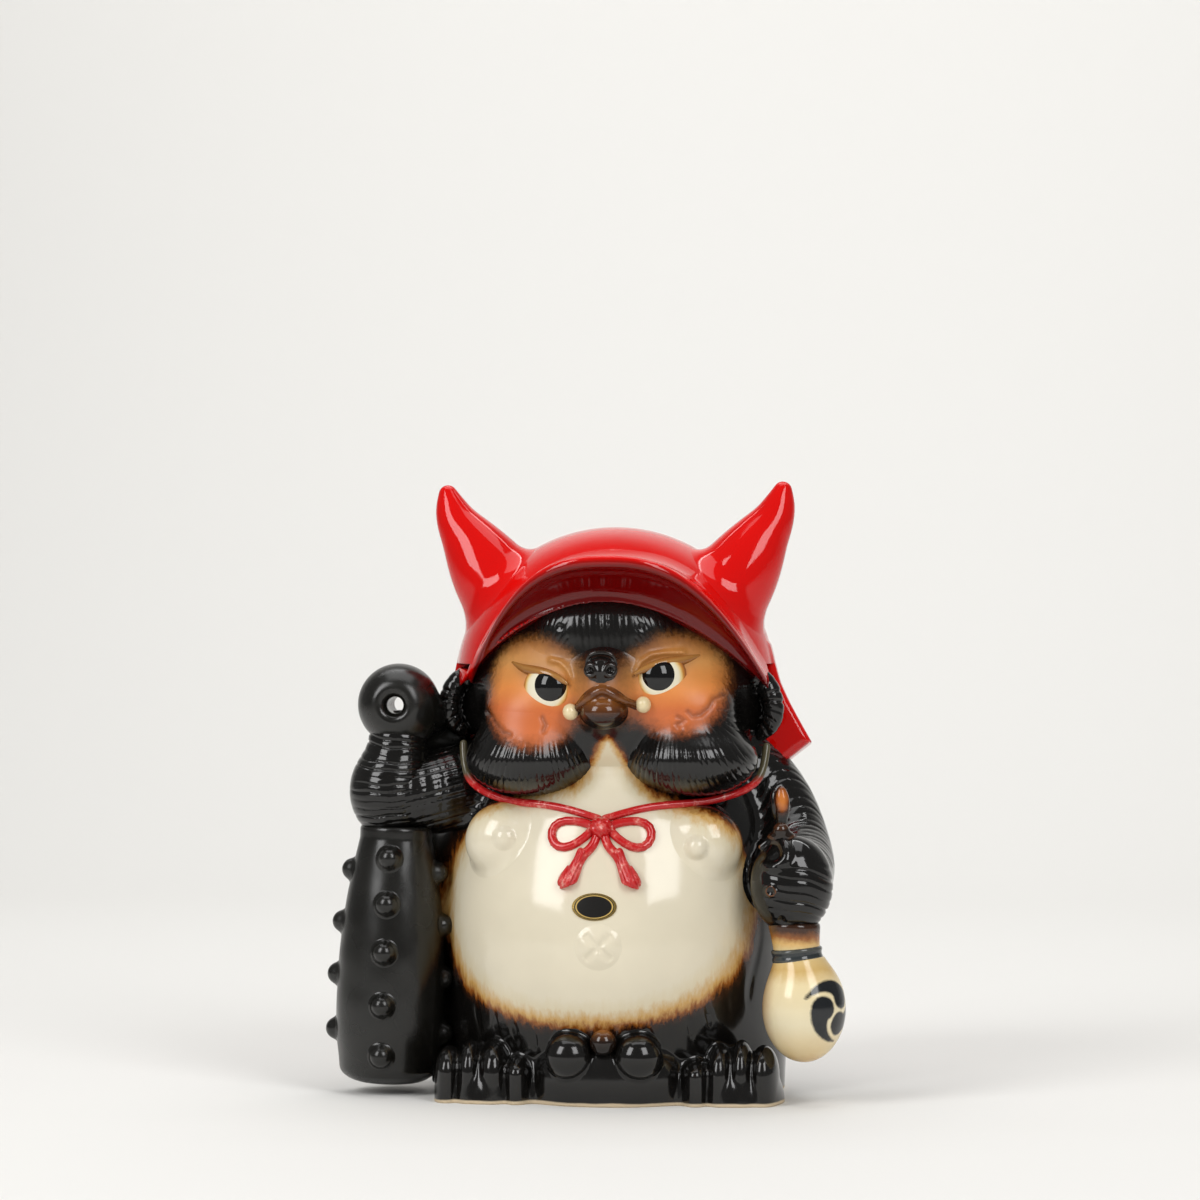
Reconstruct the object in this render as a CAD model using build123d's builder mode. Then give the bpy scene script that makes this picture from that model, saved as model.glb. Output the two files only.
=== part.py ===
from build123d import *
import math
import os

# A raccoon dog figure of glazed stoneware with a horned helmet, a studded club and a pouch.
# It stands on the plane Z = 0 and looks along -Y. Left and right are the viewer's.
# The body axis is the Z axis while the pieces are shaped. Lengths are millimetres.

# Hollow body, its two mould halves meeting on the plane Y = 0
wall = 7
torso_height = 178
torso_half_width = 84
belly_depth = 88
back_depth = 75
neck_radius = 30
clearance = 0.5
# Each ring: height, half width, belly and back, as shares of the four sizes above
torso_ring_shares = (
    (0.00, 0.985, 0.80, 0.93),
    (0.11, 0.995, 0.84, 0.96),
    (0.28, 1.000, 0.96, 0.99),
    (0.42, 1.000, 1.00, 1.00),
    (0.56, 0.993, 0.965, 1.00),
    (0.675, 0.965, 0.89, 0.97),
    (0.76, 0.915, 0.81, 0.92),
    (0.84, 0.830, 0.71, 0.85),
    (0.93, 0.680, 0.57, 0.72),
    (1.00, 0.500, 0.41, 0.56),
)

# Head, an egg turned about Z, and the helmet round it
head_height = 199
head_radius = 74
head_half_height = 68
helmet_radius = 80.5
helmet_half_height = 77
seam_margin = 5
guard_top = 10
arch_rise = 40
arch_half_width = 85
arch_drop = 54.7

# Visor brim, a wedge that runs out from the arch and dies into the helmet at both ends
brim_half_width = 72
brim_reach = 95
brim_sweep = 60
brim_rise = 59
brim_fall = 49
brim_thickness = 6
brim_station_shares = (-1, -0.75, -0.5, -0.25, 0, 0.25, 0.5, 0.75, 1)
brim_root_share = 0.63
brim_root_drop = 5.5
brim_back_share = 0.42
brim_back_rise_share = 0.7
brim_end_thin_share = 0.6

# Neck guard, flaring from the helmet's edge to a hem that drops towards the back
guard_hem_height = 170.5
guard_hem_half_width = 98
guard_hem_depth = 88
guard_hem_thickness = 10
guard_under_share = 0.87
guard_waist_share = 0.42
guard_tilt = 8

# Horns: half distance of the tips, depth in front of the axis, rings as shares of the root
horn_root_radius = 21
horn_span = 83
horn_front = 10
horn_height = 58
horn_root_height = 240
horn_ring_shares = (
    (0.63, 0.00, 1.00),
    (0.80, 0.27, 0.82),
    (0.91, 0.52, 0.62),
    (0.98, 0.76, 0.40),
    (1.01, 1.00, 0.05),
)

# Ears: a thick flat shell on each side of the head, hollowed towards the front
ear_half_width = 9
ear_half_depth = 11
ear_half_height = 19.5
ear_across_share = 1.0
ear_hollow_share = 0.68
ear_hollow_shift_share = 0.62

# Jowl tufts, forelock and muzzle, swollen forms on the head
jowl_half_width = 32
jowl_half_depth = 33
jowl_half_height = 17
jowl_front = 48
jowl_place_shares = {"left": (-0.50, -0.54), "right": (0.56, -0.54)}
forelock_half_width = 27
forelock_rise = 6
muzzle_half_width = 24
muzzle_half_depth = 22
muzzle_half_height = 22
muzzle_front = 62

# Face sprigs; places are shares of the head's radius and half height from its centre
nose_half_width = 7.5
nose_half_height = 6
nose_rise = 6
nose_place_shares = (0.0, 0.13)
nostril_radius = 1.6
nostril_spread = 4.6
mouth_across_share = 0.045
lower_lip_half_width = 12
lower_lip_half_height = 8
lower_lip_rise = 9
lower_lip_height_share = -0.155
upper_lip_radius = 2.4
upper_lip_span = 13.5
# Each point: across in the lip's span, height in the head's half height, girth
upper_lip_point_shares = (
    (-1.0, -0.165, 0.45),
    (-0.55, -0.10, 1.0),
    (0.0, -0.04, 1.0),
    (0.55, -0.085, 1.0),
    (1.0, -0.15, 0.45),
)
fang_half_width = 3.8
fang_half_height = 4.1
fang_rise = 4
fang_height_shares = {"left": -0.18, "right": -0.13}
eye_radius = 11
eye_rise = 4
eye_place_shares = {"left": (-0.365, -0.015), "right": (0.384, 0.065)}
pupil_radius = 7.3
pupil_rise = 1.6
pupil_place_shares = {"left": (-0.328, 0.01), "right": (0.373, 0.085)}
brow_radius = 2.9
brow_place_shares = {
    "left": (
        (-0.605, 0.165, 0.25),
        (-0.50, 0.115, 0.95),
        (-0.373, 0.085, 1.0),
        (-0.285, 0.055, 0.75),
        (-0.215, 0.02, 0.35),
    ),
    "right": (
        (0.615, 0.21, 0.25),
        (0.52, 0.175, 0.95),
        (0.392, 0.16, 1.0),
        (0.30, 0.125, 0.75),
        (0.225, 0.09, 0.35),
    ),
}

# Chin cord; points as shares of the torso's half width, belly and height
cord_radius = 1.9
cord_bend_radius = 9
cord_place_shares = {
    "left": (
        (-0.855, -0.36, 0.955),
        (-0.810, -0.44, 0.866),
        (-0.620, -0.575, 0.812),
        (-0.400, -0.69, 0.800),
        (-0.210, -0.755, 0.788),
        (-0.020, -0.795, 0.764),
    ),
    "right": (
        (0.905, -0.36, 0.950),
        (0.860, -0.44, 0.862),
        (0.650, -0.575, 0.812),
        (0.400, -0.69, 0.800),
        (0.210, -0.755, 0.788),
        (0.020, -0.795, 0.764),
    ),
}

# Bow; places as shares of the torso's half width and height
knot_radius = 4.8
bow_height_share = 0.742
loop_half_width = 10.6
loop_half_height = 7
loop_cord_radius = 2.2
loop_place_shares = {"left": (-0.188, 0.727), "right": (0.170, 0.727)}
loop_tilt = 14
loop_lift = 0.4
bow_tail_radius = 2.3
bow_tail_place_shares = {
    "left": ((-0.018, 0.735), (-0.037, 0.70), (-0.107, 0.668)),
    "right": ((0.018, 0.735), (0.037, 0.698), (0.107, 0.66)),
}
tassel_top_radius = 2.6
tassel_foot_radius = 5
tassel_place_shares = {
    "left": ((-0.107, 0.668), (-0.19, 0.602)),
    "right": ((0.107, 0.66), (0.17, 0.592)),
}

# Chest and belly sprigs; places as shares of the torso's half width and height
breast_radius = 20
breast_rise = 5
breast_place_shares = {"left": (-0.571, 0.697), "right": (0.548, 0.691)}
nipple_radius = 4.5
nipple_rise = 3
nipple_place_shares = {"left": (-0.565, 0.708), "right": (0.536, 0.688)}
navel_radius = 12
navel_rise = 4
navel_place_shares = (0.0, 0.427)
navel_cross_width = 2
navel_cross_length = 13
navel_cross_depth = 1.2
label_width = 21.3
label_height = 12.8
label_thickness = 0.4
label_place_shares = (-0.024, 0.534)

# Arm, fist and club on the left; centres as shares of torso half width, belly and height
arm_radius = 22
arm_left_place_shares = (
    (-0.66, -0.05, 0.85, 1.0),
    (-0.87, -0.19, 0.835, 1.0),
    (-1.07, -0.31, 0.82, 0.92),
    (-1.21, -0.375, 0.82, 0.82),
)
club_front_share = 0.375
fist_left_half_width = 20
fist_left_half_depth = 21
fist_left_half_height = 24
fist_left_place_shares = (-1.286, 0.826)
pommel_radius = 20
pommel_place_shares = (-1.232, 1.062)
pommel_hole_radius = 4
pommel_flare_radius = 8
pommel_flare_depth = 7
club_height = 119
club_radius = 26.3
club_lift = 5
club_lean = 2
club_foot_share = -1.298
# Outline of the club: radius and height as shares of its own
club_outline_shares = ((0.62, 0.0), (0.90, 0.075), (1.0, 0.33), (0.90, 0.70), (0.665, 1.0))
stud_radius = 5.5
stud_rise = 5
stud_front_shares = (0.925, 0.74, 0.545, 0.33, 0.125)
stud_side_shares = (0.865, 0.65, 0.435, 0.21)

# Arm, fist and pouch on the right
arm_right_place_shares = (
    (0.70, 0.03, 0.89, 1.0),
    (0.90, -0.03, 0.79, 0.95),
    (1.01, -0.15, 0.685, 0.93),
    (1.06, -0.36, 0.62, 0.91),
    (1.06, -0.60, 0.60, 0.86),
)
fist_right_half_width = 20
fist_right_half_depth = 19
fist_right_half_height = 24
fist_right_place_shares = (1.07, -0.70, 0.588)
toggle_half_width = 3.2
toggle_half_depth = 3
toggle_half_height = 6.8
toggle_overlap_share = 0.1
bead_radius = 3.8
bead_sink_share = 0.4
bead_place_shares = (1.00, -0.74)
pouch_front_share = 0.70
pouch_across_share = 1.14
bag_radius = 20
bag_half_height = 26
bag_height = 46
mouth_radius = 12
mouth_height = 14
mouth_flare = 1.5
tie_radius = 3
tie_ring_radius = 9.5
pouch_neck_radius = 10

# Feet, sack and tail at the foot of the body; places as shares of half width and belly
foot_half_width = 25
foot_half_depth = 26
foot_height = 29
foot_place_shares = {"left": -0.67, "right": 0.715}
foot_front_share = 0.66
toe_half_depth = 15
toe_half_height = 13
toe_height = 10
toe_front_share = 0.80
toe_spread_shares = (-0.80, -0.44, -0.02, 0.42, 0.80)
toe_width_share = 0.27
sack_half_width = 16
sack_half_depth = 19
sack_half_height = 19
sack_height = 16.5
sack_front_share = 0.83
sack_place_shares = {"left": -0.21, "right": 0.27}
sack_knob_radius = 6.3
sack_knob_height = 29.5
sack_knob_place_shares = (0.03, 0.93)
tail_radius = 19
tail_height = 76
tail_ring_shares = (
    (0.78, 0.00, 0.88),
    (0.90, 0.26, 1.0),
    (0.92, 0.55, 0.95),
    (0.90, 0.82, 0.68),
    (0.88, 0.97, 0.25),
)

# Where the body axis stands from the middle of the base outline, and a length past everything
axis_across = 11.5
axis_back = 4
reach = 400

os.makedirs("parts", exist_ok=True)
sides = {"left": -1, "right": 1}


def body_rings(inset):
    """Sections of the torso, each a belly arc and a back arc, drawn in where it is the hollow's."""
    rings = []
    for height_share, width_share, belly_share, back_share in torso_ring_shares:
        width = torso_half_width * width_share - inset
        with BuildSketch(Plane.XY.offset(torso_height * height_share)) as section:
            with BuildLine():
                EllipticalCenterArc((0, 0), width, belly_depth * belly_share - inset,
                                    start_angle=180, arc_size=180)
                EllipticalCenterArc((0, 0), width, back_depth * back_share - inset,
                                    start_angle=0, arc_size=180)
            make_face()
        rings.append(section.sketch)
    return rings


def egg(half_width, half_depth, half_height):
    """Ellipsoid about the origin."""
    with BuildPart() as form:
        with BuildSketch(Plane.YZ):
            with BuildLine():
                EllipticalCenterArc((0, 0), half_depth, half_height, start_angle=-90, arc_size=180)
                Line((0, -half_height), (0, half_height))
            make_face()
        revolve(axis=Axis.Z)
        scale(by=(half_width / half_depth, 1, 1))
    return form.part


def round_bar(points, radii, across=(0, 1, 0)):
    """Bar of round sections through the points, each square to the way the bar runs."""
    sections = []
    for index, (point, radius) in enumerate(zip(points, radii)):
        before = Vector(points[max(index - 1, 0)])
        after = Vector(points[min(index + 1, len(points) - 1)])
        heading = (after - before).normalized()
        side = Vector(across).cross(heading).normalized()
        with BuildSketch(Plane(origin=point, x_dir=side, z_dir=heading)) as section:
            Circle(radius)
        sections.append(section.sketch)
    with BuildPart() as bar:
        loft(sections=sections)
    return bar.part


def cut_by(*others):
    """Cuts the piece being built to the pieces that it lies against, one after another."""
    for other in others:
        add(other.part, mode=Mode.SUBTRACT)


def seat(body, start, heading):
    """Plane where a line from outside first meets a body, its Z pointing out of the clay."""
    start = Vector(start)
    hits = body.shells()[0].find_intersection_points(Axis(start, heading))
    point, normal = min(hits, key=lambda hit: (hit[0] - start).length)
    if normal.dot(Vector(heading)) > 0:
        normal = -normal
    return Plane(origin=point, x_dir=Vector(0, 0, 1).cross(normal).normalized(), z_dir=normal)


def face_seat(body, place, lift=0):
    """Seat on the front of a body, its place given as shares of the head's sizes."""
    across = head_radius * place[0]
    height = head_height + head_half_height * place[1]
    return seat(body, (across, -reach, height), (0, 1, 0)).offset(lift)


def chest_seat(place, lift=0):
    """Seat on the front of the torso, its place given as shares of the torso's sizes."""
    across = torso_half_width * place[0]
    height = torso_height * place[1]
    return seat(torso_core.part, (across, -reach, height), (0, 1, 0)).offset(lift)


def by_torso(place):
    """Point given as shares of the torso's half width, belly and height."""
    return (torso_half_width * place[0], belly_depth * place[1], torso_height * place[2])


def set_on(form, plane):
    """A form moved from the origin to a seat."""
    return form.moved(plane.location)


# Filled shapes that the pieces on them are cut to

with BuildPart() as head_core:
    add(egg(head_radius, head_radius, head_half_height).moved(Location((0, 0, head_height))))

with BuildPart() as helmet_core:
    add(egg(helmet_radius, helmet_radius, helmet_half_height).moved(Location((0, 0, head_height))))

with BuildPart() as torso_core:
    loft(sections=body_rings(0))

# Torso halves, open at the base and at the neck

with BuildPart() as torso_shell:
    add(torso_core.part)
    loft(sections=body_rings(wall), mode=Mode.SUBTRACT)
    add(head_core.part, mode=Mode.SUBTRACT)

with BuildPart() as torso_front:
    add(torso_shell.part)
    split(bisect_by=Plane.XZ, keep=Keep.TOP)

with BuildPart() as torso_back:
    add(torso_shell.part)
    split(bisect_by=Plane.XZ, keep=Keep.BOTTOM)

# Head halves, one hollow with the torso through the neck

with BuildPart() as head_shell:
    add(head_core.part)
    hollow = egg(head_radius - wall, head_radius - wall, head_half_height - wall)
    add(hollow.moved(Location((0, 0, head_height))), mode=Mode.SUBTRACT)
    with Locations((0, 0, head_height - head_half_height)):
        Cylinder(neck_radius, head_half_height, mode=Mode.SUBTRACT)

with BuildPart() as head_front:
    add(head_shell.part)
    split(bisect_by=Plane.XZ, keep=Keep.TOP)

with BuildPart() as head_back:
    add(head_shell.part)
    split(bisect_by=Plane.XZ, keep=Keep.BOTTOM)

# Helmet bowl, cut level all round and by the face arch in front

guard_plane = head_height + guard_top

with BuildPart() as helmet_bowl:
    add(helmet_core.part)
    split(bisect_by=Plane.XY.offset(guard_plane), keep=Keep.TOP)
    add(head_core.part, mode=Mode.SUBTRACT)
    with BuildSketch(Plane.XZ):
        with BuildLine():
            apex = head_height + arch_rise
            foot = apex - arch_drop
            Bezier((-arch_half_width, foot), (0, apex + arch_drop), (arch_half_width, foot))
            Line((arch_half_width, foot), (-arch_half_width, foot))
        make_face()
    extrude(amount=reach, mode=Mode.SUBTRACT)

# Visor brim


def arch_height(across):
    """Height of the face arch at a distance from the middle."""
    return head_height + arch_rise - arch_drop * (across / arch_half_width) ** 2


def brim_section(share):
    """Section of the brim across the visor: root, rim below, rim above, back."""
    across = brim_half_width * share
    rim_front = brim_sweep * abs(share) ** 3 - brim_reach
    rim_low = head_height + brim_rise - brim_fall * share ** 2
    rim_high = rim_low + brim_thickness * (1 - brim_end_thin_share * share ** 2)
    root_low = arch_height(across) - brim_root_drop * (1 - share ** 2)
    back_high = rim_low + brim_thickness * brim_back_rise_share
    plane = Plane(origin=(across, 0, 0), x_dir=(0, 1, 0), z_dir=(1, 0, 0))
    with BuildSketch(plane) as section:
        with BuildLine():
            Polyline((rim_front * brim_root_share, root_low), (rim_front, rim_low),
                     (rim_front, rim_high), (rim_front * brim_back_share, back_high), close=True)
        make_face()
    return section.sketch


with BuildPart() as helmet_brim:
    loft(sections=[brim_section(share) for share in brim_station_shares])
    add(helmet_core.part, mode=Mode.SUBTRACT)

# Neck guard


def guard_ring(half_width, half_depth, height, tilt):
    """Oval section of the guard, tilted so that it drops towards the back."""
    plane = Plane(origin=(0, 0, height), x_dir=(1, 0, 0), z_dir=Vector(0, 0, 1).rotate(Axis.X, -tilt))
    with BuildSketch(plane) as section:
        Ellipse(half_width, half_depth)
    return section.sketch


top_radius = helmet_radius * math.sqrt(1 - (guard_top / helmet_half_height) ** 2)
waist_width = top_radius + (guard_hem_half_width - top_radius) * guard_waist_share
waist_depth = top_radius + (guard_hem_depth - top_radius) * guard_waist_share
waist_height = (guard_plane + guard_hem_height) / 2

with BuildPart() as neck_guard:
    loft(sections=[
        guard_ring(top_radius, top_radius, guard_plane, 0),
        guard_ring(waist_width, waist_depth, waist_height, guard_tilt / 2),
        guard_ring(guard_hem_half_width, guard_hem_depth, guard_hem_height, guard_tilt),
    ])
    loft(ruled=True, sections=[
        guard_ring(guard_hem_half_width, guard_hem_depth, guard_hem_height, guard_tilt),
        guard_ring(guard_hem_half_width * guard_under_share, guard_hem_depth * guard_under_share,
                   guard_hem_height - guard_hem_thickness, guard_tilt),
    ])
    with Locations((0, -seam_margin - reach / 2, guard_hem_height)):
        Box(reach, reach, reach, mode=Mode.SUBTRACT)
    add(head_core.part, mode=Mode.SUBTRACT)
    add(torso_core.part, mode=Mode.SUBTRACT)

# Horns


with BuildPart() as horn_right:
    horn_points = []
    for across_share, rise_share, girth_share in horn_ring_shares:
        height = horn_root_height + horn_height * rise_share
        horn_points.append((horn_span * across_share, -horn_front, height))
    add(round_bar(horn_points, [horn_root_radius * ring[2] for ring in horn_ring_shares]))
    cut_by(helmet_core)

with BuildPart() as horn_left:
    mirror(horn_right.part, about=Plane.YZ)

# Ears


def ear(side):
    """Ear shell with its hollow open towards the front and the outside."""
    front = seam_margin + ear_half_depth + clearance
    height = guard_plane - ear_half_height - clearance
    place = Vector(side * head_radius * ear_across_share, -front, height)
    shift = Vector(side * ear_half_width, -ear_half_depth, 0) * ear_hollow_shift_share
    outside = egg(ear_half_width, ear_half_depth, ear_half_height).moved(Location(place))
    dip = egg(ear_half_width * ear_hollow_share, ear_half_depth * ear_hollow_share,
              ear_half_height * ear_hollow_share).moved(Location(place + shift))
    return outside - dip


with BuildPart() as ear_left:
    add(ear(-1))
    add(head_core.part, mode=Mode.SUBTRACT)

with BuildPart() as ear_right:
    add(ear(1))
    add(head_core.part, mode=Mode.SUBTRACT)

# Muzzle, forelock and jowls

with BuildPart() as muzzle:
    place = Location((0, -muzzle_front, head_height))
    add(egg(muzzle_half_width, muzzle_half_depth, muzzle_half_height).moved(place))
    add(head_core.part, mode=Mode.SUBTRACT)

with BuildPart() as face_core:
    add(head_core.part)
    add(muzzle.part)

with BuildPart() as forelock:
    low = head_height + muzzle_half_height
    high = head_height + arch_rise
    tuft = egg(forelock_half_width, (high - low) / 2 - clearance, forelock_rise)
    add(set_on(tuft, seat(head_core.part, (0, -reach, (high + low) / 2), (0, 1, 0))))
    add(head_core.part, mode=Mode.SUBTRACT)


def jowl(name):
    """Swollen cheek tuft that rests on the chest."""
    across, height = jowl_place_shares[name]
    place = (head_radius * across, -jowl_front, head_height + head_half_height * height)
    return egg(jowl_half_width, jowl_half_depth, jowl_half_height).moved(Location(place))


with BuildPart() as jowl_left:
    add(jowl("left"))
    cut_by(head_core, torso_core, muzzle)

with BuildPart() as jowl_right:
    add(jowl("right"))
    cut_by(head_core, torso_core, muzzle)

# Nose, lips and fangs

with BuildPart() as nose:
    nose_seat = face_seat(face_core.part, nose_place_shares)
    add(set_on(egg(nose_half_width, nose_half_height, nose_rise), nose_seat))
    for side in sides.values():
        start = (side * nostril_spread, -reach, nose_seat.origin.Z)
        with Locations(seat(face_core.part, start, (0, 1, 0)).offset(nose_rise).location):
            Cylinder(nostril_radius, nose_rise, mode=Mode.SUBTRACT)
    add(face_core.part, mode=Mode.SUBTRACT)

mouth_across = head_radius * mouth_across_share

with BuildPart() as upper_lip:
    lip_points = []
    for across_share, height_share, girth_share in upper_lip_point_shares:
        across = mouth_across + upper_lip_span * across_share
        height = head_height + head_half_height * height_share
        lip_points.append(seat(face_core.part, (across, -reach, height), (0, 1, 0)).origin)
    add(round_bar(lip_points, [upper_lip_radius * point[2] for point in upper_lip_point_shares]))
    cut_by(face_core, nose)

with BuildPart() as lower_lip:
    lip = egg(lower_lip_half_width, lower_lip_half_height, lower_lip_rise)
    add(set_on(lip, face_seat(face_core.part, (mouth_across_share, lower_lip_height_share))))
    cut_by(face_core, upper_lip)


def fang(name):
    """Egg-shaped fang just past the end of the lips."""
    across = mouth_across + sides[name] * (upper_lip_span + fang_half_width + clearance)
    height = head_height + head_half_height * fang_height_shares[name]
    form = egg(fang_half_width, fang_half_height, fang_rise)
    return set_on(form, seat(face_core.part, (across, -reach, height), (0, 1, 0)))


with BuildPart() as fang_left:
    add(fang("left"))
    add(face_core.part, mode=Mode.SUBTRACT)

with BuildPart() as fang_right:
    add(fang("right"))
    add(face_core.part, mode=Mode.SUBTRACT)

# Eyes, pupils and brows


def eye(name):
    """Shallow round dome of the eye white."""
    form = egg(eye_radius, eye_radius, eye_rise)
    return set_on(form, face_seat(head_core.part, eye_place_shares[name]))


def pupil(name, white):
    """Thin round pupil that lies on the eye white."""
    form = egg(pupil_radius, pupil_radius, pupil_rise)
    return set_on(form, face_seat(white, pupil_place_shares[name]))


def brow(name):
    """Leaf-shaped brow over the top of the eye."""
    places = brow_place_shares[name]
    points = [face_seat(head_core.part, place, eye_rise / 2).origin for place in places]
    return round_bar(points, [brow_radius * place[2] for place in places])


with BuildPart() as eye_left:
    add(eye("left"))
    add(face_core.part, mode=Mode.SUBTRACT)

with BuildPart() as eye_right:
    add(eye("right"))
    add(face_core.part, mode=Mode.SUBTRACT)

with BuildPart() as pupil_left:
    add(pupil("left", eye_left.part))
    cut_by(eye_left, face_core)

with BuildPart() as pupil_right:
    add(pupil("right", eye_right.part))
    cut_by(eye_right, face_core)

with BuildPart() as brow_left:
    add(brow("left"))
    cut_by(face_core, eye_left, pupil_left)

with BuildPart() as brow_right:
    add(brow("right"))
    cut_by(face_core, eye_right, pupil_right)

# Left arm, fist, pommel and club


def club_place(place):
    """Point on the club's side of the body, at the depth where the club is held."""
    return by_torso((place[0], -club_front_share, place[1]))


with BuildPart() as club_pommel:
    pommel_centre = club_place(pommel_place_shares)
    with Locations(pommel_centre):
        Sphere(pommel_radius)
    with BuildSketch(Plane(origin=pommel_centre, x_dir=(1, 0, 0), z_dir=(0, 0, 1))):
        with BuildLine():
            throat = pommel_radius - pommel_flare_depth
            Polyline((0, -pommel_radius), (pommel_flare_radius, -pommel_radius),
                     (pommel_hole_radius, -throat), (pommel_hole_radius, throat),
                     (pommel_flare_radius, pommel_radius), (0, pommel_radius), close=True)
        make_face()
    revolve(axis=Axis(pommel_centre, (0, 1, 0)), mode=Mode.SUBTRACT)

with BuildPart() as fist_left:
    grip = egg(fist_left_half_width, fist_left_half_depth, fist_left_half_height)
    add(grip.moved(Location(club_place(fist_left_place_shares))))
    cut_by(club_pommel, torso_core)

club_foot = Vector(torso_half_width * club_foot_share, -belly_depth * club_front_share, club_lift)
club_plane = Plane(origin=club_foot, x_dir=Vector(1, 0, 0).rotate(Axis.Y, club_lean),
                   z_dir=Vector(0, 0, 1).rotate(Axis.Y, club_lean))

with BuildPart() as club_blank:
    with BuildSketch(Plane.XZ):
        with BuildLine():
            side_points = [(club_radius * r, club_height * h) for r, h in club_outline_shares]
            Spline(side_points, tangents=((1, 0.4), (-0.25, 1)))
            Polyline(side_points[-1], (0, club_height), (0, 0), side_points[0])
        make_face()
    revolve(axis=Axis.Z)

with BuildPart() as club_shaft:
    add(club_blank.part.moved(club_plane.location))
    cut_by(fist_left, torso_core)


def stud(turn, height_share):
    """Blunt stud on the club, turned about its length from the front."""
    around = Vector(0, -reach, club_height * height_share).rotate(Axis.Z, turn)
    centre = (0, 0, club_height * height_share)
    heading = (Vector(centre) - around).normalized()
    stud_seat = seat(club_blank.part, around, heading)
    form = set_on(egg(stud_radius, stud_radius, stud_rise), stud_seat)
    return form.moved(club_plane.location)


with BuildPart() as club_studs:
    for turn, height_shares in ((0, stud_front_shares), (-90, stud_side_shares),
                                (90, stud_side_shares), (180, stud_front_shares)):
        for height_share in height_shares:
            add(stud(turn, height_share))
    cut_by(club_shaft, torso_core)

with BuildPart() as arm_left:
    arm_points = [by_torso(place) for place in arm_left_place_shares]
    add(round_bar(arm_points, [arm_radius * place[3] for place in arm_left_place_shares]))
    cut_by(torso_core, head_core, neck_guard, jowl_left)
    cut_by(fist_left, club_shaft, club_pommel, ear_left)

# Right arm, fist, toggle and pouch

with BuildPart() as fist_right:
    grip = egg(fist_right_half_width, fist_right_half_depth, fist_right_half_height)
    add(grip.moved(Location(by_torso(fist_right_place_shares))))
    cut_by(torso_core)

with BuildPart() as arm_right:
    arm_points = [by_torso(place) for place in arm_right_place_shares]
    arm_radii = [arm_radius * place[3] for place in arm_right_place_shares]
    add(round_bar(arm_points, arm_radii, across=(1, 0, 0)))
    cut_by(torso_core, head_core, neck_guard, jowl_right, fist_right)

bead_start = (torso_half_width * bead_place_shares[0], belly_depth * bead_place_shares[1], reach)
bead_seat = seat(fist_right.part, bead_start, (0, 0, -1)).origin
bead_centre = bead_seat + Vector(0, 0, bead_radius * (1 - bead_sink_share))

with BuildPart() as toggle_bead:
    with Locations(bead_centre):
        Sphere(bead_radius)
    add(fist_right.part, mode=Mode.SUBTRACT)

with BuildPart() as toggle:
    leaf = egg(toggle_half_width, toggle_half_depth, toggle_half_height)
    rise = bead_radius + toggle_half_height * (1 - toggle_overlap_share)
    add(leaf.moved(Location(bead_centre + Vector(0, 0, rise))))
    add(toggle_bead.part, mode=Mode.SUBTRACT)

pouch_across = torso_half_width * pouch_across_share
pouch_front = -belly_depth * pouch_front_share
bag_top = bag_height + bag_half_height

with BuildPart() as pouch_mouth:
    with Locations((pouch_across, pouch_front, bag_top + mouth_height / 2)):
        Cone(mouth_radius - mouth_flare, mouth_radius, mouth_height)
    cut_by(fist_right, torso_core)

with BuildPart() as pouch_tie:
    with Locations((pouch_across, pouch_front, bag_top - tie_radius)):
        Cylinder(pouch_neck_radius, 2 * tie_radius)
        Torus(tie_ring_radius, tie_radius)
    add(pouch_mouth.part, mode=Mode.SUBTRACT)

with BuildPart() as pouch_bag:
    add(egg(bag_radius, bag_radius, bag_half_height).moved(
        Location((pouch_across, pouch_front, bag_height))))
    cut_by(pouch_tie, torso_core)

# Chin cord and bow

with BuildPart() as bow_knot:
    with Locations(chest_seat((0, bow_height_share)).origin):
        Sphere(knot_radius)
    cut_by(torso_core, jowl_left, jowl_right)


def chin_cord(name):
    """Cord from below the ear, round the jowl and along the chest to the bow."""
    points = [by_torso(place) for place in cord_place_shares[name]]
    with BuildPart() as cord:
        with BuildLine() as route:
            FilletPolyline(*points, radius=cord_bend_radius)
        with BuildSketch(Plane(origin=route.line @ 0, z_dir=route.line % 0)):
            Circle(cord_radius)
        sweep()
    return cord.part


with BuildPart() as chin_cord_left:
    add(chin_cord("left"))
    cut_by(torso_core, head_core, jowl_left)
    cut_by(arm_left, ear_left, bow_knot)

with BuildPart() as chin_cord_right:
    add(chin_cord("right"))
    cut_by(torso_core, head_core, jowl_right)
    cut_by(arm_right, ear_right, bow_knot)


def bow_loop(name):
    """Flattened loop of the bow, lying on the chest."""
    with BuildPart() as ring:
        Torus(loop_half_width - loop_cord_radius, loop_cord_radius)
        scale(by=(1, loop_half_height / loop_half_width, 1))
    plane = chest_seat(loop_place_shares[name], loop_lift).rotated((0, 0, -sides[name] * loop_tilt))
    return set_on(ring.part, plane)


def bow_tail(name):
    """Cord end that hangs from the knot."""
    points = [chest_seat(place).origin for place in bow_tail_place_shares[name]]
    return round_bar(points, [bow_tail_radius] * len(points))


def tassel(name):
    """Tassel that widens to its foot."""
    points = [chest_seat(place).origin for place in tassel_place_shares[name]]
    with BuildPart() as skirt:
        heading = points[1] - points[0]
        with Locations(Plane(origin=(points[0] + points[1]) / 2, z_dir=heading).location):
            Cone(tassel_top_radius, tassel_foot_radius, heading.length)
    return skirt.part


with BuildPart() as bow_loop_left:
    add(bow_loop("left"))
    cut_by(torso_core, bow_knot, chin_cord_left, jowl_left)

with BuildPart() as bow_loop_right:
    add(bow_loop("right"))
    cut_by(torso_core, bow_knot, chin_cord_right, jowl_right)

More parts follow.
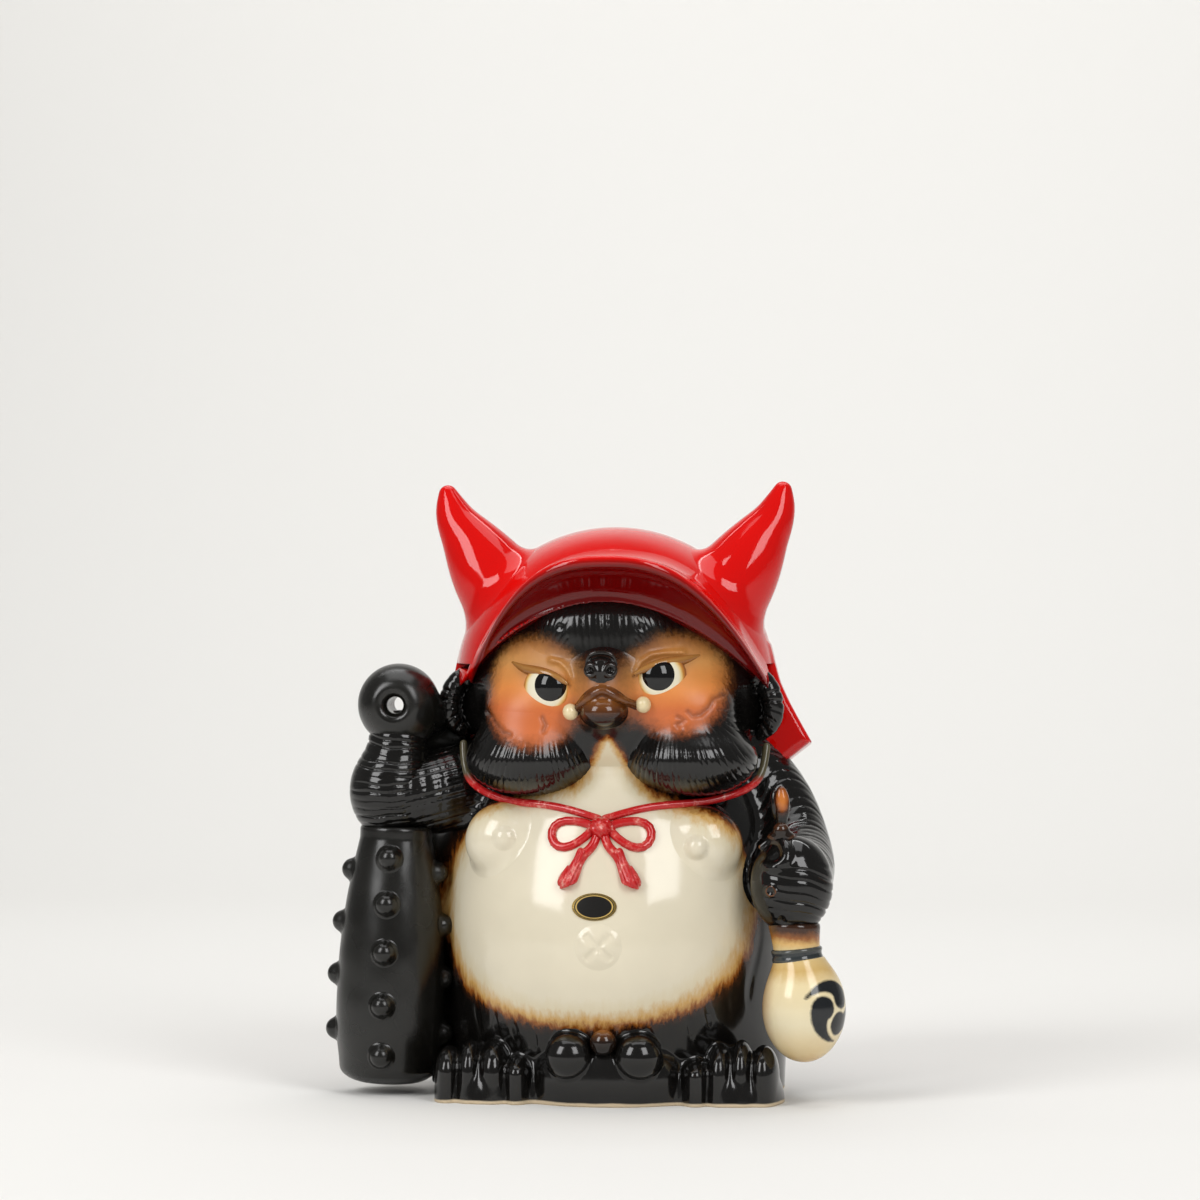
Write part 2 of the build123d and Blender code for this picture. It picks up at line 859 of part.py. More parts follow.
with BuildPart() as bow_tail_left:
    add(bow_tail("left"))
    cut_by(torso_core, bow_knot, bow_loop_left)

with BuildPart() as bow_tail_right:
    add(bow_tail("right"))
    cut_by(torso_core, bow_knot, bow_loop_right, bow_tail_left)

with BuildPart() as tassel_left:
    add(tassel("left"))
    cut_by(torso_core, bow_tail_left)

with BuildPart() as tassel_right:
    add(tassel("right"))
    cut_by(torso_core, bow_tail_right)

# Breasts, nipples, navel and label


def breast(name):
    """Low round swelling of the chest."""
    return set_on(egg(breast_radius, breast_radius, breast_rise), chest_seat(breast_place_shares[name]))


def nipple(name, carrier):
    """Button on the breast."""
    across = torso_half_width * nipple_place_shares[name][0]
    height = torso_height * nipple_place_shares[name][1]
    nipple_seat = seat(carrier, (across, -reach, height), (0, 1, 0))
    return set_on(egg(nipple_radius, nipple_radius, nipple_rise), nipple_seat)


with BuildPart() as breast_left:
    add(breast("left"))
    cut_by(torso_core, jowl_left, chin_cord_left)

with BuildPart() as breast_right:
    add(breast("right"))
    cut_by(torso_core, jowl_right, chin_cord_right)

with BuildPart() as nipple_left:
    add(nipple("left", breast_left.part))
    cut_by(breast_left, torso_core)

with BuildPart() as nipple_right:
    add(nipple("right", breast_right.part))
    cut_by(breast_right, torso_core)

with BuildPart() as navel:
    navel_seat = chest_seat(navel_place_shares)
    add(set_on(egg(navel_radius, navel_radius, navel_rise), navel_seat))
    for turn in (45, -45):
        with Locations(navel_seat.offset(navel_rise).rotated((0, 0, turn)).location):
            Box(navel_cross_length, navel_cross_width, 2 * navel_cross_depth, mode=Mode.SUBTRACT)
    add(torso_core.part, mode=Mode.SUBTRACT)

with BuildPart() as torso_skin:
    loft(sections=body_rings(-label_thickness))

with BuildPart() as foil_label:
    label_plane = Plane(origin=(torso_half_width * label_place_shares[0], 0,
                                torso_height * label_place_shares[1]),
                        x_dir=(1, 0, 0), z_dir=(0, -1, 0))
    with BuildSketch(label_plane):
        Ellipse(label_width / 2, label_height / 2)
    extrude(amount=reach)
    add(torso_skin.part, mode=Mode.INTERSECT)
    cut_by(torso_core, navel)

# Feet, sack and tail


with BuildPart() as foot_form:
    instep = egg(foot_half_width, foot_half_depth, foot_height)
    add(instep.moved(Location((0, -belly_depth * foot_front_share, 0))))
    toe = egg(foot_half_width * toe_width_share, toe_half_depth, toe_half_height)
    for spread_share in toe_spread_shares:
        place = (foot_half_width * spread_share, -belly_depth * toe_front_share, toe_height)
        add(toe.moved(Location(place)))
    split(bisect_by=Plane.XY, keep=Keep.TOP)


def foot(name):
    """Foot with its toes, flat underneath."""
    return foot_form.part.moved(Location((torso_half_width * foot_place_shares[name], 0, 0)))


def sack(name):
    """Round lobe of the sack, flat underneath."""
    across = torso_half_width * sack_place_shares[name]
    with BuildPart() as form:
        lobe = egg(sack_half_width, sack_half_depth, sack_half_height)
        add(lobe.moved(Location((across, -belly_depth * sack_front_share, sack_height))))
        split(bisect_by=Plane.XY, keep=Keep.TOP)
    return form.part


with BuildPart() as foot_left:
    add(foot("left"))
    add(torso_core.part, mode=Mode.SUBTRACT)

with BuildPart() as foot_right:
    add(foot("right"))
    cut_by(torso_core, pouch_bag)

with BuildPart() as sack_left:
    add(sack("left"))
    cut_by(torso_core, foot_left)

with BuildPart() as sack_right:
    add(sack("right"))
    cut_by(torso_core, foot_right, sack_left)

with BuildPart() as sack_knob:
    with Locations((torso_half_width * sack_knob_place_shares[0],
                    -belly_depth * sack_knob_place_shares[1], sack_knob_height)):
        Sphere(sack_knob_radius)
    cut_by(torso_core, sack_left, sack_right)

with BuildPart() as tail:
    tail_points = [(0, back_depth * back, tail_height * rise) for back, rise, girth in tail_ring_shares]
    add(round_bar(tail_points, [tail_radius * ring[2] for ring in tail_ring_shares], across=(1, 0, 0)))
    split(bisect_by=Plane.XY, keep=Keep.TOP)
    add(torso_core.part, mode=Mode.SUBTRACT)

# Every piece moves from the body axis to the middle of the base outline and gets its name

pieces = {
    "torso_front": torso_front, "torso_back": torso_back,
    "head_front": head_front, "head_back": head_back,
    "helmet_bowl": helmet_bowl, "helmet_brim": helmet_brim, "neck_guard": neck_guard,
    "horn_left": horn_left, "horn_right": horn_right,
    "ear_left": ear_left, "ear_right": ear_right,
    "muzzle": muzzle, "forelock": forelock, "jowl_left": jowl_left, "jowl_right": jowl_right,
    "nose": nose, "upper_lip": upper_lip, "lower_lip": lower_lip,
    "fang_left": fang_left, "fang_right": fang_right,
    "eye_left": eye_left, "eye_right": eye_right,
    "pupil_left": pupil_left, "pupil_right": pupil_right,
    "brow_left": brow_left, "brow_right": brow_right,
    "chin_cord_left": chin_cord_left, "chin_cord_right": chin_cord_right,
    "bow_knot": bow_knot, "bow_loop_left": bow_loop_left, "bow_loop_right": bow_loop_right,
    "bow_tail_left": bow_tail_left, "bow_tail_right": bow_tail_right,
    "tassel_left": tassel_left, "tassel_right": tassel_right,
    "breast_left": breast_left, "breast_right": breast_right,
    "nipple_left": nipple_left, "nipple_right": nipple_right,
    "navel": navel, "foil_label": foil_label,
    "arm_left": arm_left, "fist_left": fist_left, "club_pommel": club_pommel,
    "club_shaft": club_shaft, "club_studs": club_studs,
    "arm_right": arm_right, "fist_right": fist_right, "toggle": toggle, "toggle_bead": toggle_bead,
    "pouch_mouth": pouch_mouth, "pouch_tie": pouch_tie, "pouch_bag": pouch_bag,
    "foot_left": foot_left, "foot_right": foot_right,
    "sack_left": sack_left, "sack_right": sack_right, "sack_knob": sack_knob, "tail": tail,
}
to_middle = Location((axis_across, axis_back, 0))

for label, piece in pieces.items():
    piece.part = piece.part.moved(to_middle)
    piece.part.label = label
    export_step(piece.part, f"parts/{label}.step")
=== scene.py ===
import functools
import math
import bmesh
import bpy
import numpy as np
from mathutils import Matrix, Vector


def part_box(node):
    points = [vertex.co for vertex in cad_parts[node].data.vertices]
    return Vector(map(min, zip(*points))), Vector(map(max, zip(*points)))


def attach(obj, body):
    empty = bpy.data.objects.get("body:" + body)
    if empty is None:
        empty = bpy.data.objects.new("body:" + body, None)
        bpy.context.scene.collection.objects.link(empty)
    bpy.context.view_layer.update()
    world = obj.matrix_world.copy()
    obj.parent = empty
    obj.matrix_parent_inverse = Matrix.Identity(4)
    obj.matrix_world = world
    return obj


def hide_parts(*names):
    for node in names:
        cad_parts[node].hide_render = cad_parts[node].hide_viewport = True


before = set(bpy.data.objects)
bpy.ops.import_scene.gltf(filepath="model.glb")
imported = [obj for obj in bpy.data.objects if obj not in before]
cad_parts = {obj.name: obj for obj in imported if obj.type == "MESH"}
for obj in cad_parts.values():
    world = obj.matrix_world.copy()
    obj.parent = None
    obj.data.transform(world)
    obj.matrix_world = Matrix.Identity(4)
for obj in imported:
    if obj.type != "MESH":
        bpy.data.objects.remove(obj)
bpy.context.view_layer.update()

# Body of the raccoon dog: a hollow belly-shaped casting of stoneware, open at the foot.
# It was slip-cast in a front and a back mould half, joined on the plane through its sides,
# then glazed black with an ivory belly sprayed in front. Forms are written in mm from its axis.
mm = 0.001
body_axis = np.array((11.5, 4.0, 0.0))
body_height, body_wall, body_hollow_top, throat_fillet = 178, 7, 150, 9
body_half_width, belly_depth, back_depth = 84, 88, 75
body_rings = ((0.00, 0.985, 0.80, 0.93), (0.11, 0.995, 0.84, 0.96), (0.28, 1.000, 0.96, 0.99),
              (0.42, 1.000, 1.00, 1.00), (0.56, 0.993, 0.965, 1.00), (0.675, 0.965, 0.89, 0.97),
              (0.76, 0.915, 0.81, 0.92), (0.84, 0.830, 0.71, 0.85), (0.93, 0.680, 0.57, 0.72),
              (1.00, 0.500, 0.41, 0.56))
web_heights, web_reaches = (0, 30, 60, 95, 130), (90, 84, 84, 88, 92)
web_back, web_half_thick, web_half_width, web_foot, web_top = -19, 7, 14, 3, 132
ivory_middle, ivory_up, ivory_down, ivory_half_width, ivory_aside, ivory_squareness = 98, 53, 59.5, 95, -9, 2.15
tongue_heights = (126, 136, 142, 150, 161, 172, 177, 190)
tongue_half_widths = (-20, 36, 26, 17, 10, 4.5, -1.5, -25)
head_centre, head_radii = (0, 0, 199), (74, 74, 68)


def curve_through(stations, values, where):
    """Natural cubic curve through values at stations, read at other places."""
    stations, values = np.asarray(stations, float), np.asarray(values, float)
    gap, count = np.diff(stations), len(stations)
    rows, right = np.eye(count), np.zeros(count)
    for i in range(1, count - 1):
        rows[i, i - 1:i + 2] = gap[i - 1], 2 * (gap[i - 1] + gap[i]), gap[i]
        right[i] = 6 * ((values[i + 1] - values[i]) / gap[i] - (values[i] - values[i - 1]) / gap[i - 1])
    bend = np.linalg.solve(rows, right)
    k = np.clip(np.searchsorted(stations, where) - 1, 0, count - 2)
    t, h = where - stations[k], gap[k]
    slope = (values[k + 1] - values[k]) / h - h * (2 * bend[k] + bend[k + 1]) / 6
    return values[k] + t * (slope + t * (bend[k] / 2 + t * (bend[k + 1] - bend[k]) / (6 * h)))


def melt(a, b, width):
    """Two forms run together, with clay filling the corner between them."""
    near = np.maximum(width - np.abs(a - b), 0) / width
    return np.minimum(a, b) - near * near * width / 4


def pare(a, b, width=0.01):
    """What two forms have in common, its edge softened."""
    return -melt(-a, -b, width)


def shared(*forms):
    """What several forms have in common, with sharp edges."""
    return functools.reduce(np.maximum, forms)


def oval(x, y, half_width, half_depth):
    """Distance to an upright oval wall."""
    reach = np.sqrt((x / half_width) ** 2 + (y / half_depth) ** 2)
    slope = np.sqrt((x / half_width ** 2) ** 2 + (y / half_depth ** 2) ** 2) + 1e-6
    return reach * (reach - 1) / slope


def egg(x, y, z, centre, radii, lean=0):
    """Distance to an egg about a centre, leant in the plane of the face."""
    x, y, z = x - centre[0], y - centre[1], z - centre[2]
    if lean:
        c, s = math.cos(math.radians(lean)), math.sin(math.radians(lean))
        x, z = c * x + s * z, c * z - s * x
    reach = np.sqrt((x / radii[0]) ** 2 + (y / radii[1]) ** 2 + (z / radii[2]) ** 2)
    slope = np.sqrt((x / radii[0] ** 2) ** 2 + (y / radii[1] ** 2) ** 2 + (z / radii[2] ** 2) ** 2) + 1e-6
    return reach * (reach - 1) / slope


ring_heights = np.linspace(0, body_height, 240)
ring_sizes = [scale * curve_through([ring[0] for ring in body_rings], [ring[k] for ring in body_rings],
                                    ring_heights / body_height)
              for k, scale in ((1, body_half_width), (2, belly_depth), (3, back_depth))]


def body_skin(x, y, z):
    """Outside of the body, closed at the neck."""
    width, belly, back = [np.interp(z, ring_heights, size) for size in ring_sizes]
    return np.maximum(oval(x, y, width, np.where(y < 0, belly, back)), z - body_height)


def web_skin(x, y, z):
    """Web of clay that fills the gap from the body to the club."""
    reach = np.interp(z, web_heights, web_reaches)
    fin = np.maximum(np.abs(y - web_back - 2.5 * np.sin(0.13 * z)) - web_half_thick,
                     np.abs(x + reach - web_half_width) - web_half_width)
    return pare(pare(fin, z - web_top, 4), web_foot - z, 4)


def ivory_reach(x, y, z):
    """Millimetres inside the edge of the ivory belly and of its tongue up to the chin."""
    around = body_half_width * np.arctan2(x, -y * body_half_width / belly_depth)
    up = np.where(z < ivory_middle, (ivory_middle - z) / ivory_down, (z - ivory_middle) / ivory_up)
    field = (np.abs((around - ivory_aside) / ivory_half_width) ** ivory_squareness
             + np.abs(up) ** ivory_squareness) ** (1 / ivory_squareness)
    tongue = np.interp(z, tongue_heights, tongue_half_widths) - np.abs(x - 2.5)
    return np.where(y < 12, np.maximum((1 - field) * 58, tongue), -40.0)


def body_form(x, y, z):
    """Walls of the body, with the short strokes combed into the fur below the belly."""
    edge = ivory_reach(x, y, z)
    skin = melt(body_skin(x, y, z), web_skin(x, y, z), 9)
    throat = egg(x, y, z, head_centre, head_radii) + 0.3
    skin = np.maximum(melt(skin, throat, throat_fillet), skin - throat_fillet)
    comb = np.clip(np.cos(0.62 * x + 1.3 * np.sin(0.09 * z + 0.05 * x)), 0, 1) ** 2
    strokes = 0.55 * comb * np.exp(-((edge + 9) / 6) ** 2) * (z < 90)
    hollow = np.maximum(body_skin(x, y, z) + body_wall, z - body_hollow_top)
    return shared(skin + strokes, -hollow, -z)


def lattice(low, high, step):
    """Sampling places every step from the axis, so that neighbours share them."""
    return [np.arange(math.floor(a / step) - 1, math.ceil(b / step) + 2, dtype=np.float32) * step
            for a, b in zip(low, high)]


def net_over(form, low, high, step):
    """Points and four-sided faces of a net drawn tight over a form."""
    xs, ys, zs = lattice(low, high, step)
    field = np.broadcast_to(form(xs[:, None, None], ys[None, :, None], zs[None, None, :]),
                            (len(xs), len(ys), len(zs))).astype(np.float32)
    inside = field < 0
    cells = [n - 1 for n in field.shape]
    strides = np.array([cells[1] * cells[2], cells[2], 1])
    owners, spots, faces = [], [], []
    for axis in range(3):
        first = tuple(slice(None, -1) if k == axis else slice(None) for k in range(3))
        second = tuple(slice(1, None) if k == axis else slice(None) for k in range(3))
        at = np.argwhere(inside[first] != inside[second])
        one, two = field[first][tuple(at.T)], field[second][tuple(at.T)]
        spot = at.astype(np.float64)
        spot[:, axis] += one / (one - two)
        u, v = (axis + 1) % 3, (axis + 2) % 3
        round_edge = []
        for du, dv in ((1, 1), (0, 1), (0, 0), (1, 0)):
            cell = at.copy()
            cell[:, u] -= du
            cell[:, v] -= dv
            fits = np.all((cell >= 0) & (cell < cells), axis=1)
            round_edge.append(np.where(fits, cell @ strides, -1))
            owners.append(round_edge[-1][fits])
            spots.append(spot[fits])
        quad = np.stack(round_edge, 1)
        outward = one < 0
        quad = np.where(outward[:, None], quad, quad[:, ::-1])
        faces.append(quad[(quad >= 0).all(1)])
    owners, spots, faces = np.concatenate(owners), np.concatenate(spots), np.concatenate(faces)
    used, index = np.unique(owners, return_inverse=True)
    total = np.bincount(index)
    points = np.stack([np.bincount(index, spots[:, k]) / total for k in range(3)], 1)
    points = points * step + np.array([xs[0], ys[0], zs[0]], float)
    return points, np.searchsorted(used, faces)


def slope_of(form, points, gap):
    """Value, slope and roundness of a form at points."""
    here = form(*points.T)
    sides = [[form(*(points + sign * gap * np.eye(3)[k]).T) for sign in (1, -1)] for k in range(3)]
    slope = np.stack([(ahead - behind) / (2 * gap) for ahead, behind in sides], 1)
    roundness = (sum(ahead + behind for ahead, behind in sides) - 6 * here) / gap ** 2
    return here, slope, roundness


def fire(name, form, low, high, step, glaze, slot, nodes, paint=None, cuts=()):
    """Makes one piece from its form: net, marks for the glaze, material and place in the object."""
    points, faces = net_over(form, low, high, step)
    for _ in range(3):
        value, slope, _ = slope_of(form, points, 0.3 * step)
        push = value[:, None] * slope / np.maximum((slope ** 2).sum(1), 0.05)[:, None]
        points -= np.clip(push, -0.6 * step, 0.6 * step)
    ridge = slope_of(form, points, 1.2)[2]
    mesh = bpy.data.meshes.new(name)
    placed = (points + body_axis) * mm
    mesh.from_pydata(placed.tolist(), [], faces.tolist())
    marks = {"ridge": ridge, **(paint(*points.T) if paint else {})}
    for mark, values in marks.items():
        mesh.attributes.new(mark, "FLOAT", "POINT").data.foreach_set(
            "value", np.asarray(values, np.float32).ravel())
    for at, outward in cuts:
        bm = bmesh.new()
        bm.from_mesh(mesh)
        seat = [(c + shift) * mm for c, shift in zip(at, body_axis)]
        cut = bmesh.ops.bisect_plane(bm, geom=bm.verts[:] + bm.edges[:] + bm.faces[:], dist=1e-7,
                                     plane_co=seat, plane_no=outward, clear_outer=True)
        rim = [item for item in cut["geom_cut"] if isinstance(item, bmesh.types.BMEdge)]
        bmesh.ops.triangle_fill(bm, edges=rim, use_beauty=False, use_dissolve=False)
        for edge in rim:
            edge.smooth = False
        bm.to_mesh(mesh)
        bm.free()
    mesh.validate()
    mesh.shade_smooth()
    mesh.materials.append(glaze)
    piece = bpy.data.objects.new(name, mesh)
    bpy.context.scene.collection.objects.link(piece)
    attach(piece, "root")
    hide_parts(*nodes)
    return piece


def new_material(name, rough):
    """Material with a plain glossy skin, its nodes and a way to add and join them."""
    stuff = bpy.data.materials.new(name)
    stuff.use_nodes = True
    tree = stuff.node_tree
    skin = tree.nodes["Principled BSDF"]
    skin.inputs["Roughness"].default_value = rough
    skin.inputs["IOR"].default_value = 1.52

    def add(kind, inputs=(), **settings):
        made = tree.nodes.new("ShaderNode" + kind)
        for key, value in settings.items():
            setattr(made, key, value)
        for key, value in dict(inputs).items():
            if isinstance(value, bpy.types.NodeSocket):
                tree.links.new(value, made.inputs[key])
            else:
                made.inputs[key].default_value = value
        return made

    return stuff, tree, skin, add


def fitted(add, value, low, high, start=0.0, end=1.0):
    """A value brought from one range into another and kept within it."""
    return add("MapRange", {"Value": value, "From Min": low, "From Max": high, "To Min": start,
                            "To Max": end}).outputs[0]


def reckon(add, how, *values):
    """Result of one step of arithmetic."""
    return add("Math", dict(enumerate(values)), operation=how).outputs[0]


def blend_colours(add, share, first, second, how="MIX"):
    """Colour between two, by share."""
    mix = add("Mix", data_type="RGBA", blend_type=how)
    for socket, value in ((mix.inputs[0], share), (mix.inputs[6], first), (mix.inputs[7], second)):
        if isinstance(value, bpy.types.NodeSocket):
            mix.id_data.links.new(value, socket)
        elif isinstance(value, (int, float)):
            socket.default_value = value
        else:
            socket.default_value = (*value, 1)
    return mix.outputs[2]


def ramp_of(add, value, coats):
    """Colours laid along a mark, each at its own value of the mark."""
    low, high = coats[0][0], coats[-1][0]
    ramp = add("ValToRGB", {"Fac": fitted(add, value, low, high)})
    stops = ramp.color_ramp.elements
    while len(stops) < len(coats):
        stops.new(0.5)
    for stop, (at, colour) in zip(stops, coats):
        stop.position = (at - low) / (high - low)
        stop.color = (*colour, 1)
    return ramp.outputs["Color"]


def frayed(add, place, mark, fray, size, stretch=(1, 1, 1)):
    """A mark whose edge is frayed by noise, as sprayed and brushed glaze is."""
    mark = add("Attribute", attribute_name=mark).outputs["Fac"]
    grain = add("VectorMath", {0: place, 1: stretch}, operation="MULTIPLY").outputs[0]
    noise = add("TexNoise", {"Vector": grain, "Scale": size, "Detail": 4.0, "Roughness": 0.65})
    return reckon(add, "MULTIPLY_ADD", reckon(add, "SUBTRACT", noise.outputs["Fac"], 0.5), 2 * fray, mark)


glaze_black, glaze_umber, glaze_rust = (0.005, 0.0045, 0.004), (0.035, 0.011, 0.004), (0.28, 0.085, 0.012)
glaze_ivory, glaze_honey, bisque = (0.74, 0.65, 0.46), (0.62, 0.37, 0.12), (0.62, 0.50, 0.34)


def laid_along(mark, fray, size, coats, stretch=(1, 1, 1)):
    """Coats of glaze laid along a mark, their edges frayed."""
    return lambda add, place: (ramp_of(add, frayed(add, place, mark, fray, size, stretch), coats), None)


def dipped(name, coat, rough=0.1, thin=None, foot=False, mottle=0.12):
    """A glaze of one colour, or of coats that may also say where it is satin and not glossy."""
    stuff, tree, skin, add = new_material(name, rough)
    place = add("TexCoord").outputs["Object"]
    colour, satin = coat(add, place) if callable(coat) else (coat, None)
    cloud = add("TexNoise", {"Vector": place, "Scale": 38.0, "Detail": 3.0}).outputs["Fac"]
    dull = fitted(add, cloud, 0.3, 0.7, 1 - mottle)
    grey = add("CombineColor", {0: dull, 1: dull, 2: dull}).outputs[0]
    colour = blend_colours(add, 1.0, colour, grey, "MULTIPLY")
    if thin:
        worn = frayed(add, place, "ridge", 0.12, 260.0)
        colour = blend_colours(add, fitted(add, worn, thin[1], thin[2]), colour, thin[0])
    gloss = fitted(add, cloud, 0.3, 0.7, 0.75 * rough, 1.3 * rough)
    if foot:
        height = add("SeparateXYZ", {0: place}).outputs["Z"]
        level = reckon(add, "ADD", height, fitted(add, cloud, 0, 1, -0.0009, 0.0009))
        bare = fitted(add, level, 0.0021, 0.0014)
        colour = blend_colours(add, bare, colour, bisque)
        gloss = add("Mix", {0: bare, 2: gloss, 3: 0.8}, data_type="FLOAT").outputs[0]
    if satin is not None:
        gloss = add("Mix", {0: satin, 2: gloss, 3: 0.42}, data_type="FLOAT").outputs[0]
    ripple = add("TexNoise", {"Vector": place, "Scale": 150.0, "Detail": 2.0}).outputs["Fac"]
    bump = add("Bump", {"Height": ripple, "Strength": 0.08, "Distance": 0.0006})
    tree.links.new(bump.outputs[0], skin.inputs["Normal"])
    tree.links.new(colour, skin.inputs["Base Color"])
    tree.links.new(gloss, skin.inputs["Roughness"])
    return stuff


belly_coats = ((-6.0, glaze_black), (-3.2, glaze_umber), (-1.2, glaze_rust), (1.6, glaze_honey), (6.5, glaze_ivory),
               (12.0, (0.77, 0.70, 0.54)))
belly_glaze = dipped("belly_glaze", laid_along("ivory", 4.5, 340.0, belly_coats, (1, 1, 0.3)), 0.12, None, True, 0.05)
fur_glaze = dipped("fur_glaze", glaze_black, 0.11, (glaze_umber, 0.55, 1.5), True)


def belly_paint(x, y, z):
    """Where the ivory lies."""
    return {"ivory": ivory_reach(x, y, z)}


mould_front, mould_back = (((0, 0, 0), (0, 1, 0)),), (((0, 0, 0), (0, -1, 0)),)
fire("body_front", body_form, (-96, -90, 0), (86, 3, 179), 1.25, belly_glaze, "belly_glaze", ["torso_front"],
     belly_paint, mould_front)
fire("body_back", body_form, (-86, -3, 0), (86, 78, 179), 1.25, belly_glaze, "fur_glaze", ["torso_back"],
     belly_paint, mould_back)

# Head: an egg of the same clay with swollen cheeks, cast in two halves and luted to the neck.
# Two tan patches round the eyes were sprayed into the black fur, warmer towards the cheeks,
# and short strokes and the smile lines were cut with a wire tool before the first firing.
head_wall, neck_way_radius = 7, 30
cheeks = (((-35, -52, 184), (23, 21, 17)), ((38, -52, 188), (24, 21, 17)))
cheek_blend = 13


def rod(x, y, z, points, radii):
    """Bar of changing girth from point to point."""
    form = None
    for p, q, r, s in zip(points, points[1:], radii, radii[1:]):
        dx, dy, dz = (b - a for a, b in zip(p, q))
        along = np.clip(((x - p[0]) * dx + (y - p[1]) * dy + (z - p[2]) * dz) / (dx * dx + dy * dy + dz * dz), 0, 1)
        gap = np.sqrt((x - p[0] - along * dx) ** 2 + (y - p[1] - along * dy) ** 2
                      + (z - p[2] - along * dz) ** 2) - r - (s - r) * along
        form = gap if form is None else np.minimum(form, gap)
    return form


def eased(points, radii, count=14):
    """The same bar with its corners eased into one curve."""
    points = np.asarray(points, float)
    walk = np.concatenate([[0], np.cumsum(np.linalg.norm(np.diff(points, axis=0), axis=1))])
    where = np.linspace(0, walk[-1], count)
    line = np.stack([curve_through(walk, points[:, k], where) for k in range(3)], 1)
    return [tuple(point) for point in line], list(curve_through(walk, radii, where))


def scored(x, z, lines, half_width, depth):
    """Lines cut into the face, or raised where the depth is negative, seen from the front."""
    cut = 0
    for line in lines:
        gap = None
        for p, q in zip(line, line[1:]):
            dx, dz = q[0] - p[0], q[1] - p[1]
            along = np.clip(((x - p[0]) * dx + (z - p[1]) * dz) / (dx * dx + dz * dz), 0, 1)
            near = (x - p[0] - along * dx) ** 2 + (z - p[1] - along * dz) ** 2
            gap = near if gap is None else np.minimum(gap, near)
        cut = cut + depth * np.exp(-gap / half_width ** 2)
    return cut


patch_shapes = ((-32.5, 196.0, 23.5, 26.5), (34.5, 200.0, 24.5, 24.0))
smile_lines = (((-57, 187), (-53, 184), (-50, 180), (-46.5, 177), (-43.5, 176)),
               ((57, 195), (53, 193), (51, 189), (47, 185.5), (43.5, 185), (41.5, 187)),
               ((-28, 184), (-26.5, 180.5), (-27.5, 177.5)), ((36.5, 184.5), (39.5, 183), (36, 181)))
face_dots = (((-40, 173.2), (-39.6, 173.4)), ((-37.3, 170), (-37, 170.3)), ((37.5, 179), (37.9, 179.2)))
lid_folds = (((-24.5, 211.5), (-20, 210.5), (-16.5, 207.5), (-14.6, 203.5)),
             ((16.5, 206.5), (19, 211), (23.5, 214), (30, 215), (38, 215.2)))


def patch_reach(x, z):
    """Millimetres inside the edge of the tan eye patches."""
    reach = None
    for across, height, half_width, half_height in patch_shapes:
        far = (np.abs((x - across) / half_width) ** 2.3 + np.abs((z - height) / half_height) ** 2.3) ** (1 / 2.3)
        inside = (1 - far) * half_height
        reach = inside if reach is None else np.maximum(reach, inside)
    bridge = 12.5 - np.sqrt(((x - 1.5) / 1.55) ** 2 + ((z - 196) / 1.25) ** 2)
    return -melt(-reach, -bridge, 6.0)


def egg_of(centre, radii, lean=0):
    """Form of one egg."""
    return lambda x, y, z: egg(x, y, z, centre, radii, lean)


def melted(width, first, *others):
    """Form of several forms run together."""
    def together(x, y, z):
        form = first(x, y, z)
        for other in others:
            form = melt(form, other(x, y, z), width)
        return form
    return together


head_skin = melted(cheek_blend, egg_of(head_centre, head_radii), *(egg_of(*cheek) for cheek in cheeks))


def face_cuts(x, y, z):
    """Everything cut or raised on the face's skin."""
    cuts = scored(x, z, smile_lines, 1.25, 1.15) + scored(x, z, face_dots, 1.5, 0.9)
    cuts = cuts + scored(x, z, lid_folds, 1.3, -1.7)
    edge = patch_reach(x, z)
    side = np.where(x < 0, -34.0, 35.5)
    turn = np.arctan2(z - 198, x - side)
    comb = np.clip(np.cos(72 * turn + 1.4 * np.sin(9 * turn)), 0, 1) ** 2
    cuts = cuts + 0.5 * comb * np.exp(-((edge + 8.5) / 5.5) ** 2) * (np.abs(x) > 16)
    return np.where(y < 0, cuts, 0.0)


def head_form(x, y, z):
    """Walls of the head, with the neck opening underneath."""
    inner = egg(x, y, z, head_centre, [r - head_wall for r in head_radii])
    neck = np.maximum(np.sqrt(x ** 2 + y ** 2) - neck_way_radius, z - head_centre[2])
    return np.maximum(head_skin(x, y, z) + face_cuts(x, y, z), -np.minimum(inner, neck))


def face_paint(x, y, z):
    """Marks for the patches, the warm cheeks, the dark bridge of the nose and the ivory chin."""
    dark = np.exp(-((x - 1) / 12.5) ** 2) * np.interp(z, (182, 190, 200, 208, 222), (1.0, 0.62, 0.60, 0.85, 1.0))
    dark = np.maximum(dark, np.interp(z, (207, 216, 221), (0, 0.35, 0.9)) * np.clip((30 - np.abs(x)) / 9, 0, 1))
    return {"patch": np.where(y < -8, patch_reach(x, z), -30), "warm": 196 - z + 0.12 * np.abs(x), "dark": dark,
            "ivory": np.where(z < 181, ivory_reach(x, y, z), -30), "line": scored(x, z, smile_lines, 1.1, 1.0)}


